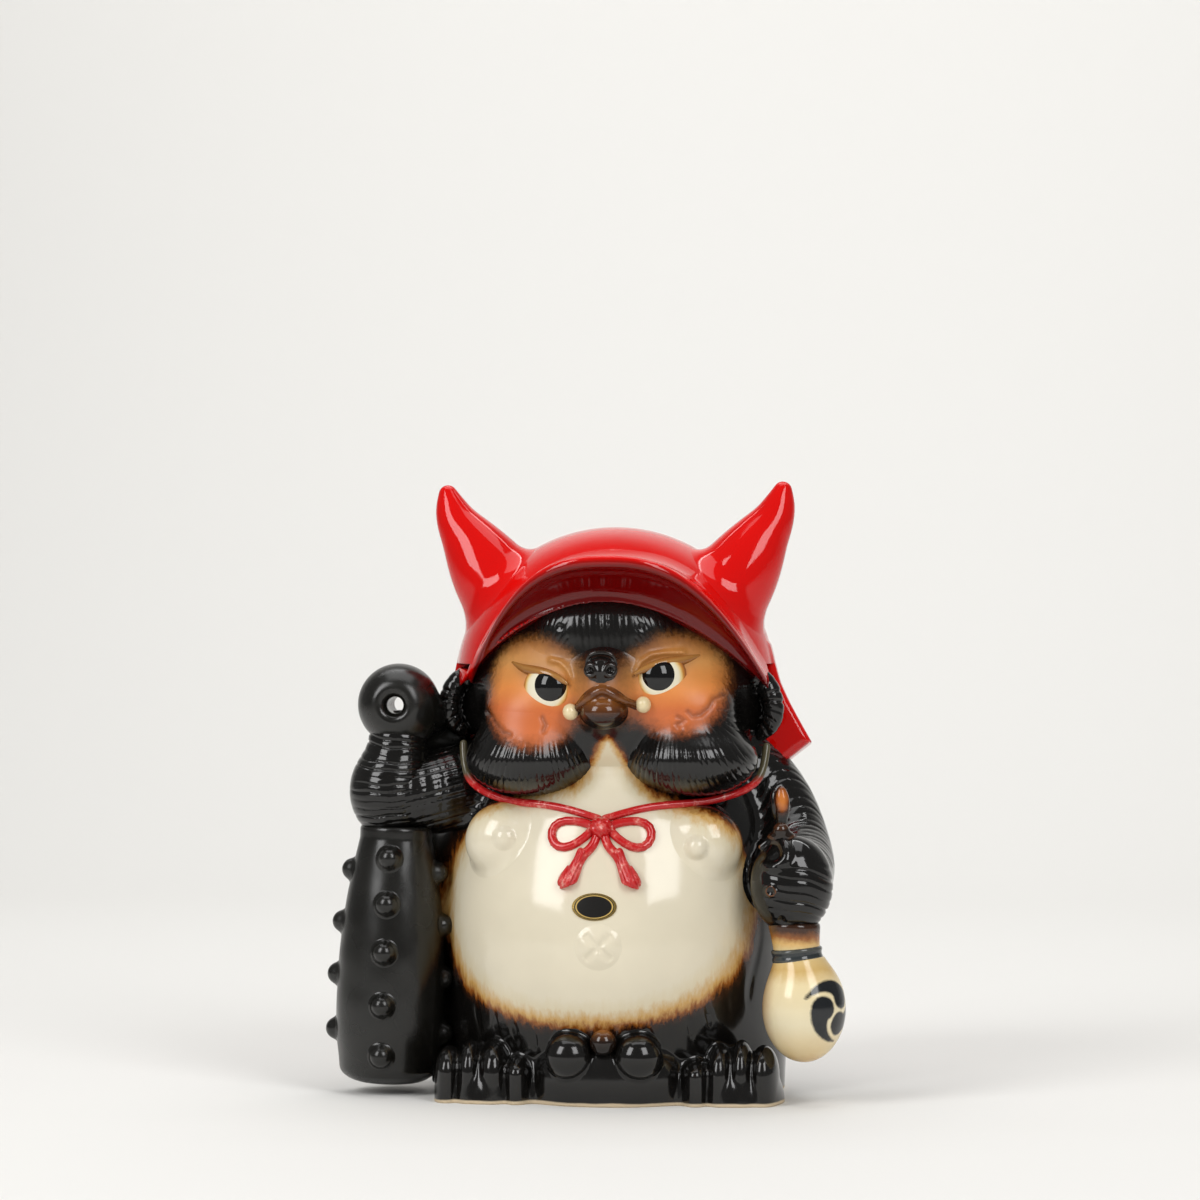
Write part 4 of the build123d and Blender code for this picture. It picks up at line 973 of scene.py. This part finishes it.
def fist_right_form(x, y, z):
    """Fist with a curled thumb, a small dimple and furrows round its foot."""
    form = melt(egg(x, y, z, fist_centre, fist_radii), rod(x, y, z, *fist_curl), 2.0)
    folds = combed(z + 0.010 * (x - 82) ** 2, 5.2, 0.75, 0.6 * np.sin(0.3 * x)) * np.clip((x - 76) / 12, 0, 1)
    form = form + folds * np.clip((118 - z) / 8, 0, 1)
    form = form - 0.9 * np.exp(-((np.sqrt((x - 81) ** 2 + (z - 102.5) ** 2) - 2.2) / 0.9) ** 2) * (y < -60)
    return form + 1.0 * np.exp(-((x - 86) ** 2 + (z - 89) ** 2) / 2.5) * (y < -60)


fire("arm_right_upper", sprig(arm_right_form, body_outside, 7), (38, -76, 82), (112, 28, 182), 0.9, fur_glaze,
     "fur_glaze", ["arm_right"])
fist_glaze = dipped("fist_glaze", glaze_black, 0.1, (glaze_rust, 0.75, 2.0))
fire("fist_right_grip", fist_right_form, (68, -84, 79), (112, -40, 131), 0.6, fist_glaze, "fur_glaze",
     ["fist_right"])
bead_form = melted(1.5, egg_of((85.2, -65.1, 127.5), (6.6, 5.5, 3.6)), egg_of((85.2, -67.2, 130.6), (3.9, 3.9, 3.9)))
toggle_leaves = melted(1.0, egg_of((85.6, -64.8, 143.9), (3.5, 3.4, 7.8), 6),
                       egg_of((82.2, -63.0, 142.2), (2.4, 2.6, 7.4), 6))
toggle_form = melted(2.0, toggle_leaves, rod_of(((85.4, -65.1, 131), (85.6, -65, 138)), (2.4, 2.6)))


def toggle_paint(x, y, z):
    """Millimetres inside the orange face of the toggle."""
    return {"leaf": 3.4 - np.hypot(x - 85.8, (z - 145.2) / 1.9)}


toggle_coats = ((-1.2, glaze_black), (0.0, (0.05, 0.014, 0.005)), (0.9, (0.34, 0.090, 0.014)),
                (2.4, (0.56, 0.18, 0.035)))
toggle_glaze = dipped("toggle_glaze", laid_along("leaf", 0.6, 260.0, toggle_coats), 0.12)
bead_glaze = dipped("bead_glaze", (0.015, 0.008, 0.005), 0.1, ((0.16, 0.05, 0.014), 0.4, 0.9))
fire("toggle_bead_round", bead_form, (76, -73, 122), (94, -57, 137), 0.4, bead_glaze, "fur_glaze",
     ["toggle_bead"])
fire("toggle_leaf", toggle_form, (78, -71, 127), (93, -58, 153), 0.4, toggle_glaze, "lip_glaze", ["toggle"],
     toggle_paint)
pouch_x, pouch_y, pouch_neck_x = 95.76, -61.6, 92.4
bag_height, bag_radii, tie_height, tie_radius, tie_half_width = 46, (19.9, 19.9, 25.8), 71.4, 12.3, 3.3


def neck_away(x, y, z):
    """Distance from the axis of the pouch's neck, which leans to the statue."""
    return np.sqrt((x - pouch_neck_x + 0.10 * (z - 72)) ** 2 + (y - pouch_y) ** 2)


def pouch_mouth_form(x, y, z):
    """Mouth of the pouch, a plain collar above the tie."""
    girth = np.interp(z, (64, 72, 79, 86), (10.8, 10.9, 11.6, 12.6))
    return pare(pare(neck_away(x, y, z) - girth, z - 87, 3), 66 - z, 1)


def pouch_tie_form(x, y, z):
    """Flat band round the neck of the pouch, grooved along its middle."""
    level = np.abs(z - tie_height - 0.10 * (x - pouch_neck_x)) - tie_half_width
    return pare(neck_away(x, y, z) - tie_radius + 0.5 * np.exp(-(level + 3.1) ** 2), level, 1.6)


def pouch_bag_form(x, y, z):
    """Round bag, drawn in below the tie."""
    bag = egg(x, y, z, (pouch_x, pouch_y, bag_height), bag_radii)
    return melt(bag, np.maximum(neck_away(x, y, z) - 10.4, np.abs(z - 64) - 4), 8)


crest_out = np.array((0.80, -0.60, 0.0))
crest_at = np.array((pouch_x, pouch_y, 46.5)) + bag_radii[0] * crest_out
crest_scale, comma_count, comma_radius, comma_out, comma_steps = 1.45, 3, 3.9, 5.0, 31


def crest_reach(x, y, z):
    """Millimetres inside the brushed crest: three commas that chase each other round."""
    side = np.array((-crest_out[1], crest_out[0], 0.0))
    u = ((x - crest_at[0]) * side[0] + (y - crest_at[1]) * side[1]) / crest_scale
    v = (z - crest_at[2]) / crest_scale
    front = (x - pouch_x) * crest_out[0] + (y - pouch_y) * crest_out[1] > 3
    reach = -30.0
    for k in range(comma_count):
        turn = 2 * math.pi * k / comma_count + 0.9
        head_u, head_v = comma_out * math.cos(turn), comma_out * math.sin(turn)
        reach = np.maximum(reach, comma_radius - np.hypot(u - head_u, v - head_v))
        for step in range(1, comma_steps + 1):
            far = turn + 0.06 * step
            ring_radius = comma_out + 0.18 * step
            girth = 3.7 - 0.11 * step
            reach = np.maximum(reach, girth - np.hypot(u - ring_radius * math.cos(far),
                                                       v - ring_radius * math.sin(far)))
    return np.where(front, reach, -30)


def pouch_paint(x, y, z):
    """Where the crest lies, how near the tie a place is, and how near the side toward the body, for a painted shade.
    """
    return {"crest": crest_reach(x, y, z), "gather": z, "inner": 86 - x + 0.25 * (y + 62)}


def pouch_coats_and_shade(add, place):
    """Coats of the pouch: ivory, ochre near the tie, with painted shade browning the side toward the body and the
    crest in black.
    """
    ivory = ramp_of(add, frayed(add, place, "gather", 3.0, 120.0),
                    ((18, (0.62, 0.36, 0.12)), (25, (0.80, 0.62, 0.34)), (40, (0.86, 0.76, 0.52)),
                     (58, (0.84, 0.70, 0.42)), (65, (0.66, 0.44, 0.16)), (74, (0.78, 0.60, 0.30)),
                     (77, (0.70, 0.44, 0.15)), (80, (0.30, 0.10, 0.02)), (83, (0.05, 0.016, 0.005)),
                     (90, glaze_black)))
    # Painted shade: the side of the bag toward the body is browned.
    inner = fitted(add, frayed(add, place, "inner", 3.0, 90.0), 0, 11, 0, 0.75)
    ivory = blend_colours(add, inner, ivory, (0.40, 0.17, 0.035))
    ink = ramp_of(add, frayed(add, place, "crest", 0.35, 500.0), ((-0.35, (0, 0, 0)), (0.35, (1, 1, 1))))
    return blend_colours(add, ink, ivory, (0.012, 0.014, 0.016)), None


pouch_glaze = dipped("pouch_glaze", pouch_coats_and_shade, 0.12, mottle=0.05)
tie_glaze = dipped("tie_glaze", (0.035, 0.042, 0.045), 0.12, ((0.12, 0.12, 0.10), 0.4, 1.2), mottle=0.4)
fire("pouch_mouth_collar", pouch_mouth_form, (76, -77, 64), (108, -46, 90), 0.5, pouch_glaze, "pouch_glaze",
     ["pouch_mouth"], pouch_paint)
fire("pouch_tie_band", pouch_tie_form, (77, -76, 61), (108, -47, 78), 0.4, tie_glaze, "fur_glaze", ["pouch_tie"])
fire("pouch_bag_round", pouch_bag_form, (74, -83, 18), (118, -40, 74), 0.45, pouch_glaze, "pouch_glaze",
     ["pouch_bag"], pouch_paint)

# Breasts, nipples and navel: low swellings of clay smoothed into the belly before glazing.
# The navel is a round pad with a cross cut into it. The label is a small oval of gold foil
# with a black field, stuck on above the navel after the last firing and left without words.
breast_radii, breast_sunk, breast_blend, nipple_radii = (20, 16.0, 19), 9.2, 4.5, (4.3, 3.6, 4.3)


def body_bed(x, y, z):
    """Skin of the body where it carries a sprig, 0.3 mm deeper."""
    return body_skin(x, y, z) + 0.3


def chest_depth(place):
    """Depth of the body's skin at a place seen from the front."""
    width, belly, _ = [float(np.interp(place[1], ring_heights, size)) for size in ring_sizes]
    return -belly * math.sqrt(1 - (place[0] / width) ** 2)


for side, centre, tip in (("left", (-48, 124), (-47.4, 126.0)), ("right", (46, 123), (45.0, 122.4))):
    middle = (centre[0], chest_depth(centre) + breast_sunk, centre[1])
    breast_form = egg_of(middle, breast_radii)
    fire("breast_" + side + "_pad", sprig(breast_form, body_skin, breast_blend),
         (middle[0] - 30, middle[1] - 19, middle[2] - 29), (middle[0] + 30, middle[1] + 30, middle[2] + 29), 0.9,
         belly_glaze, "belly_glaze", ["breast_" + side], belly_paint)
    button = (tip[0], chest_depth(tip) - 5.6 + 1.5 * (tip[0] / body_half_width) ** 2, tip[1])
    breast_skin = melted(breast_blend, breast_form, body_bed)
    fire("nipple_" + side + "_button", sprig(egg_of(button, nipple_radii), breast_skin, 3.5, 0.2),
         *room_round([button], 9), 0.45, belly_glaze, "belly_glaze", ["nipple_" + side], belly_paint)
navel_centre, navel_radii, cross_half_width, cross_reach = (0, -83.4, 76), (12.2, 6.8, 12.2), 1.7, 9


def navel_form(x, y, z):
    """Navel pad with its cut cross."""
    pad, up = egg(x, y, z, navel_centre, navel_radii), z - navel_centre[2]
    cross = np.minimum(np.abs(x + up), np.abs(x - up)) / math.sqrt(2)
    return pad + 1.1 * np.exp(-(cross / cross_half_width) ** 2) * np.clip(cross_reach - np.hypot(x, up), 0, 1)


fire("navel_pad", sprig(navel_form, body_skin, 1.8, 0.25), (-18, -93, 58), (18, -70, 94), 0.55, belly_glaze,
     "belly_glaze", ["navel"], belly_paint)


def foil():
    """Gold foil with a black printed field, by the distance from the label's middle."""
    stuff, tree, skin, add = new_material("label_foil", 0.24)
    place = add("TexCoord").outputs["Object"]
    low, high = [np.array(corner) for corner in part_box("foil_label")]
    half = [(high[k] - low[k]) / 2 for k in (0, 2)]
    parts = add("SeparateXYZ", {0: place})
    squares = []
    for axis, k, size in (("X", 0, half[0]), ("Z", 2, half[1])):
        off = reckon(add, "SUBTRACT", parts.outputs[axis], float(low[k] + high[k]) / 2)
        squares.append(reckon(add, "POWER", reckon(add, "DIVIDE", off, float(size)), 2.0))
    away = reckon(add, "ADD", *squares)
    colour = ramp_of(add, away, ((0.0, (0.010, 0.009, 0.008)), (0.60, (0.010, 0.009, 0.008)),
                                 (0.64, (0.62, 0.42, 0.12)), (0.70, (0.62, 0.42, 0.12)),
                                 (0.73, (0.012, 0.010, 0.008)), (0.79, (0.012, 0.010, 0.008)),
                                 (0.83, (0.66, 0.46, 0.15)), (1.0, (0.58, 0.40, 0.12))))
    metal = ramp_of(add, away, ((0.78, (0, 0, 0)), (0.84, (1, 1, 1))))
    tree.links.new(colour, skin.inputs["Base Color"])
    tree.links.new(metal, skin.inputs["Metallic"])
    crinkle = add("TexNoise", {"Vector": place, "Scale": 900.0}).outputs["Fac"]
    bump = add("Bump", {"Height": crinkle, "Strength": 0.12, "Distance": 0.0003})
    tree.links.new(bump.outputs[0], skin.inputs["Normal"])
    return stuff


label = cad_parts["foil_label"]
label.data.materials.clear()
label.data.materials.append(foil())

# Chin cord and bow: thin rolls of clay laid round the jowls and tied in a bow on the chest,
# painted red over the glaze. The paint has worn off in places, and near the ears the cord is bare glaze.
cord_red, cord_pink, cord_olive = (0.56, 0.010, 0.012), (0.78, 0.36, 0.30), (0.10, 0.085, 0.045)


def cord_coats(add, place):
    """Coats of the cord: red paint worn to pink in places, gone near the ears."""
    wear = add("TexNoise", {"Vector": place, "Scale": 210.0, "Detail": 5.0, "Roughness": 0.7}).outputs["Fac"]
    worn = ramp_of(add, wear, ((0.50, cord_red), (0.58, (0.66, 0.06, 0.05)), (0.70, cord_pink)))
    bare = ramp_of(add, frayed(add, place, "height", 2.0, 200.0), ((152, (0, 0, 0)), (156, (1, 1, 1))))
    return blend_colours(add, bare, worn, cord_olive), None


cord_glaze = dipped("cord_glaze", cord_coats, 0.16, mottle=0.1)


def height_paint(x, y, z):
    """Height of a place."""
    return {"height": z}


def laid(points, girths, lift=0.3, count=24):
    """Roll of clay laid on the chest along places seen from the front."""
    seats = [(p[0], chest_depth(p) - lift, p[1]) for p in points]
    return eased(seats, girths, count)


def roll(node, places, girths):
    """Fires one roll of clay along a line."""
    fire(node + "_roll", rod_of(places, girths), *room_round(places, max(girths) + 2), 0.4, cord_glaze,
         "cord_glaze", [node], height_paint)


cord_girth, loop_girth, loop_length, loop_height, loop_out = 1.9, 2.1, 10.0, 5.6, 14.0
cord_routes = {
    "left": ((-71.8, -31.7, 170), (-68.5, -39.2, 154.4), (-59.5, -47.5, 147.6), (-46, -54.8, 143.4),
             (-33.6, -60.7, 142.4), (-17.6, -66.4, 140.3), (-1.7, -70.0, 136.0)),
    "right": ((76.0, -31.7, 169.1), (72.2, -38.7, 153.4), (62.5, -47.2, 147.2), (47, -54.8, 143.4),
              (33.6, -60.7, 142.4), (17.6, -66.4, 140.3), (1.7, -70.0, 136.0)),
}
for side, route in cord_routes.items():
    line, girths = eased(route, (cord_girth,) * len(route), 30)
    line = [(p[0], min(p[1], chest_depth((p[0], p[2])) - 0.5 if abs(p[0]) < 60 else p[1]), p[2]) for p in line]
    roll("chin_cord_" + side, line, girths)
knot_y = chest_depth((0, 132))


def knot_form(x, y, z):
    """Knot of the bow."""
    return egg(x, y, z, (0, knot_y - 2.2, 132), (5.4, 4.8, 5.0)) + 0.25 * np.cos(1.6 * (x + z))


fire("bow_knot_ball", knot_form, (-8, knot_y - 10, 125), (8, knot_y + 7, 139), 0.35, cord_glaze, "cord_glaze",
     ["bow_knot"], height_paint)
for side, sign in (("left", -1), ("right", 1)):
    lean = math.radians(14) * -sign
    loop = []
    for turn in [math.pi * 2 * k / 18 for k in range(19)]:
        across = -sign * loop_length * math.cos(turn)
        up = loop_height * math.sin(turn) * (1 - 0.42 * math.cos(turn))
        place = (sign * loop_out + across * math.cos(lean) - up * math.sin(lean),
                 129.4 + across * math.sin(lean) + up * math.cos(lean))
        loop.append((place[0], chest_depth(place) - 0.5, place[1]))
    roll("bow_loop_" + side, loop, [loop_girth] * len(loop))
    tail_line = laid(((1.5 * sign, 130.5), (3.2 * sign, 124.4), (9.0 * sign, 118.2)), (2.1, 2.2, 2.4), 0.4, 10)
    roll("bow_tail_" + side, *tail_line)
    drop = laid(((8.6 * sign, 119.4), (9.8 * sign, 116.8), (11.8 * sign, 113.2), (15.0 * sign, 106.6)),
                (3.3, 2.8, 3.4, 5.0), 0.3, 12)

    def tassel_form(x, y, z):
        """Tassel with its knot, cut off at a slant and scored into strands."""
        skirt = rod(x, y, z, *drop)
        foot = (z - 104.3) * -0.9 + 0.38 * (sign * x - 15) * -1
        strands = 0.5 * np.clip(np.cos(2.4 * (sign * x + 0.45 * (z - 106))), 0, 1) * (y < -70)
        return pare(skirt + strands, foot, 0.8)
    fire("tassel_" + side + "_skirt", tassel_form, (sign * 13 - 9, -93, 99), (sign * 13 + 9, -68, 124), 0.4,
         cord_glaze, "cord_glaze", ["tassel_" + side], height_paint)

# Feet, sack and tail at the base: rounded lumps luted on round the foot and trimmed level with it.
# The toes are parted with a stick. Where glaze was wiped off to stand in the kiln, a pale
# line of bare clay runs along the floor. The knob above the sack and the tail were added last.
toe_plans = ((-74.6, 7.0, 26), (-64.0, 6.6, 29), (-52.3, 8.2, 28.5), (-40.6, 7.0, 22),
             (45.0, 7.0, 21), (56.0, 7.0, 28), (66.2, 6.4, 30.5), (76.6, 7.4, 28))
instep_radii, sack_centre, sack_radii = (23, 25, 25), (2.2, -66, 13), (35, 19.5, 20.5)
lobe_places, lobe_radii, knob_centre, knob_radius = (-14.8, 18.4), (11.6, 11.4, 11.0), (1.8, -82.0, 30.5), 6.3


def plinth_skin(x, y, z):
    """Low rim of clay round the front of the foot, from which toes and lobes rise."""
    front = -78 - 5.0 * np.exp(-((x - 2) / 30) ** 4) - 3.0 * np.exp(-((np.abs(x - 2) - 58) / 20) ** 4)
    wall = oval(x - 1.5, np.minimum(y, 0), np.interp(y, (-55, -16), (86.5, 80.5)), -front)
    return pare(np.maximum(wall, y + 12), z - 9 - 4 * np.exp(-((x - 2) / 34) ** 6), 10)


def toes_skin(x, y, z):
    """Both feet: an instep each, with toes that run down to the floor."""
    form = np.minimum(egg(x, y, z, (-56.3, -53, 0), instep_radii), egg(x, y, z, (63, -53, 0), instep_radii))
    for across, half_width, top in toe_plans:
        setback = 0.10 * np.abs(across - 2) - 5.8
        toe = egg(x, y, np.maximum(z, 14), (across, -62.5 + setback, 14), (half_width, 15.0, top - 14))
        form = melt(form, toe, 2.2)
    return form


lobes_skin = melted(1.4, egg_of(sack_centre, sack_radii),
                    *(egg_of((across, -79.6, 23.6), lobe_radii) for across in lobe_places))
base_skin = melted(4, melted(5, plinth_skin, lobes_skin, toes_skin), body_bed)


def base_form(x, y, z):
    """The same without the body behind it."""
    return shared(base_skin(x, y, z), -5 - body_skin(x, y, z), -z)


base_glaze = dipped("base_glaze", glaze_black, 0.13, (glaze_rust, 0.5, 2.6), True)
base_parts = (("foot_left", -90, -29), ("sack_left", -29, 2.4), ("sack_right", 2.4, 34.5), ("foot_right", 34.5, 92))
for node, from_x, to_x in base_parts:
    sides = [((x, 0, 0), (way, 0, 0)) for x, way in ((from_x, -1), (to_x, 1)) if abs(x) < 88]
    fire(node + "_luted", base_form, (from_x - 2, -92, 0), (to_x + 2, -14, 42), 0.7, base_glaze, "fur_glaze", [node],
         cuts=sides)
tail_bar = eased(((0, 58.5, 0), (0, 66.5, 19.8), (0, 68, 41.8), (0, 67, 60), (0, 65.5, 68)),
                 (16.7, 19.0, 17.6, 11.5, 6), 12)


def tail_form(x, y, z):
    """Short thick tail up the back, with furrows that run along it."""
    form = rod(x, y, z, *tail_bar) + combed(x + 0.8 * np.sin(0.08 * z), 4.4, 0.9) * (y > 60)
    return np.maximum(form, -z)


# The knob is black, with its top laid brown as a painted sheen.
knob_sheen_coats = ((24, glaze_black), (31.5, (0.015, 0.007, 0.004)), (34.5, (0.09, 0.030, 0.007)),
              (37, (0.30, 0.11, 0.025)))
knob_sheen_glaze = dipped("knob_sheen_glaze", laid_along("height", 0.8, 200.0, knob_sheen_coats), 0.1)
fire("sack_knob_ball", egg_of(knob_centre, (knob_radius,) * 3), (-6, -91, 22), (10, -74, 39), 0.4, knob_sheen_glaze,
     "lip_glaze", ["sack_knob"], height_paint)
fire("tail_tuft", sprig(tail_form, body_skin, 6), (-28, 44, 0), (28, 90, 80), 0.8, fur_glaze, "fur_glaze",
     ["tail"])

# Floor and backdrop: one pale sheet that curves up behind the figure. Two wide soft lamps stand in front
# of it to the left and right, a weaker one hangs above, and a fourth lights the sheet behind it.
# The camera looks level from 2 m, turned 6 degrees.
sweep = bmesh.new()
profile = [(-3.0, 0.0), (1.2, 0.0)]
profile += [(1.2 + 0.9 * math.sin(math.radians(a)), 0.9 - 0.9 * math.cos(math.radians(a))) for a in range(6, 91, 6)]
profile += [(2.1, 3.6)]
rows = [[sweep.verts.new((x, y, z)) for x in (-3.4, 3.4)] for y, z in profile]
for lower, upper in zip(rows, rows[1:]):
    sweep.faces.new((lower[0], lower[1], upper[1], upper[0]))
sheet_mesh = bpy.data.meshes.new("backdrop_sheet")
sweep.to_mesh(sheet_mesh)
sweep.free()
sheet_mesh.shade_smooth()
backdrop = bpy.data.objects.new("backdrop_sheet", sheet_mesh)
bpy.context.scene.collection.objects.link(backdrop)
paper, _, paper_skin, _ = new_material("paper_sheet", 0.85)
paper_skin.inputs["Base Color"].default_value = (0.82, 0.81, 0.785, 1)
paper_skin.inputs["Specular IOR Level"].default_value = 0.1
sheet_mesh.materials.append(paper)


def soft_lamp(name, place, size, power, aim=(0.0115, 0, 0.14)):
    """Wide soft lamp turned to the figure."""
    lamp = bpy.data.lights.new(name, "AREA")
    lamp.shape, lamp.size, lamp.size_y, lamp.energy = "RECTANGLE", size[0], size[1], power
    holder = bpy.data.objects.new(name, lamp)
    holder.location = place
    gaze = Vector(aim) - Vector(place)
    holder.rotation_euler = gaze.to_track_quat("-Z", "Y").to_euler()
    bpy.context.scene.collection.objects.link(holder)


soft_lamp("lamp_left", (-1.05, -1.18, 1.08), (0.7, 1.2), 16.5)
soft_lamp("lamp_right", (0.98, -1.22, 1.16), (0.7, 1.15), 14.5)
soft_lamp("lamp_above", (0.0, 0.1, 1.7), (1.5, 1.2), 10)
soft_lamp("lamp_backdrop", (0.0, 0.75, 1.9), (2.6, 0.5), 23, (0.0, 2.1, 0.8))
world = bpy.data.worlds.new("studio")
bpy.context.scene.world = world
world.use_nodes = True
world.node_tree.nodes["Background"].inputs["Color"].default_value = (0.93, 0.925, 0.91, 1)
world.node_tree.nodes["Background"].inputs["Strength"].default_value = 0.2

camera = bpy.data.cameras.new("camera")
camera.lens, camera.sensor_width, camera.clip_end = 120, 36, 20
viewer = bpy.data.objects.new("camera", camera)
camera_turn, camera_away, camera_aside, camera_height = math.radians(6), 1.975, -0.0083, 0.24
viewer.location = (body_axis[0] * mm + camera_away * math.sin(camera_turn) + camera_aside,
                   body_axis[1] * mm - camera_away * math.cos(camera_turn), camera_height)
viewer.rotation_euler = (math.radians(90), 0, camera_turn)
bpy.context.scene.collection.objects.link(viewer)
bpy.context.scene.camera = viewer
bpy.context.scene.view_settings.view_transform = "Standard"
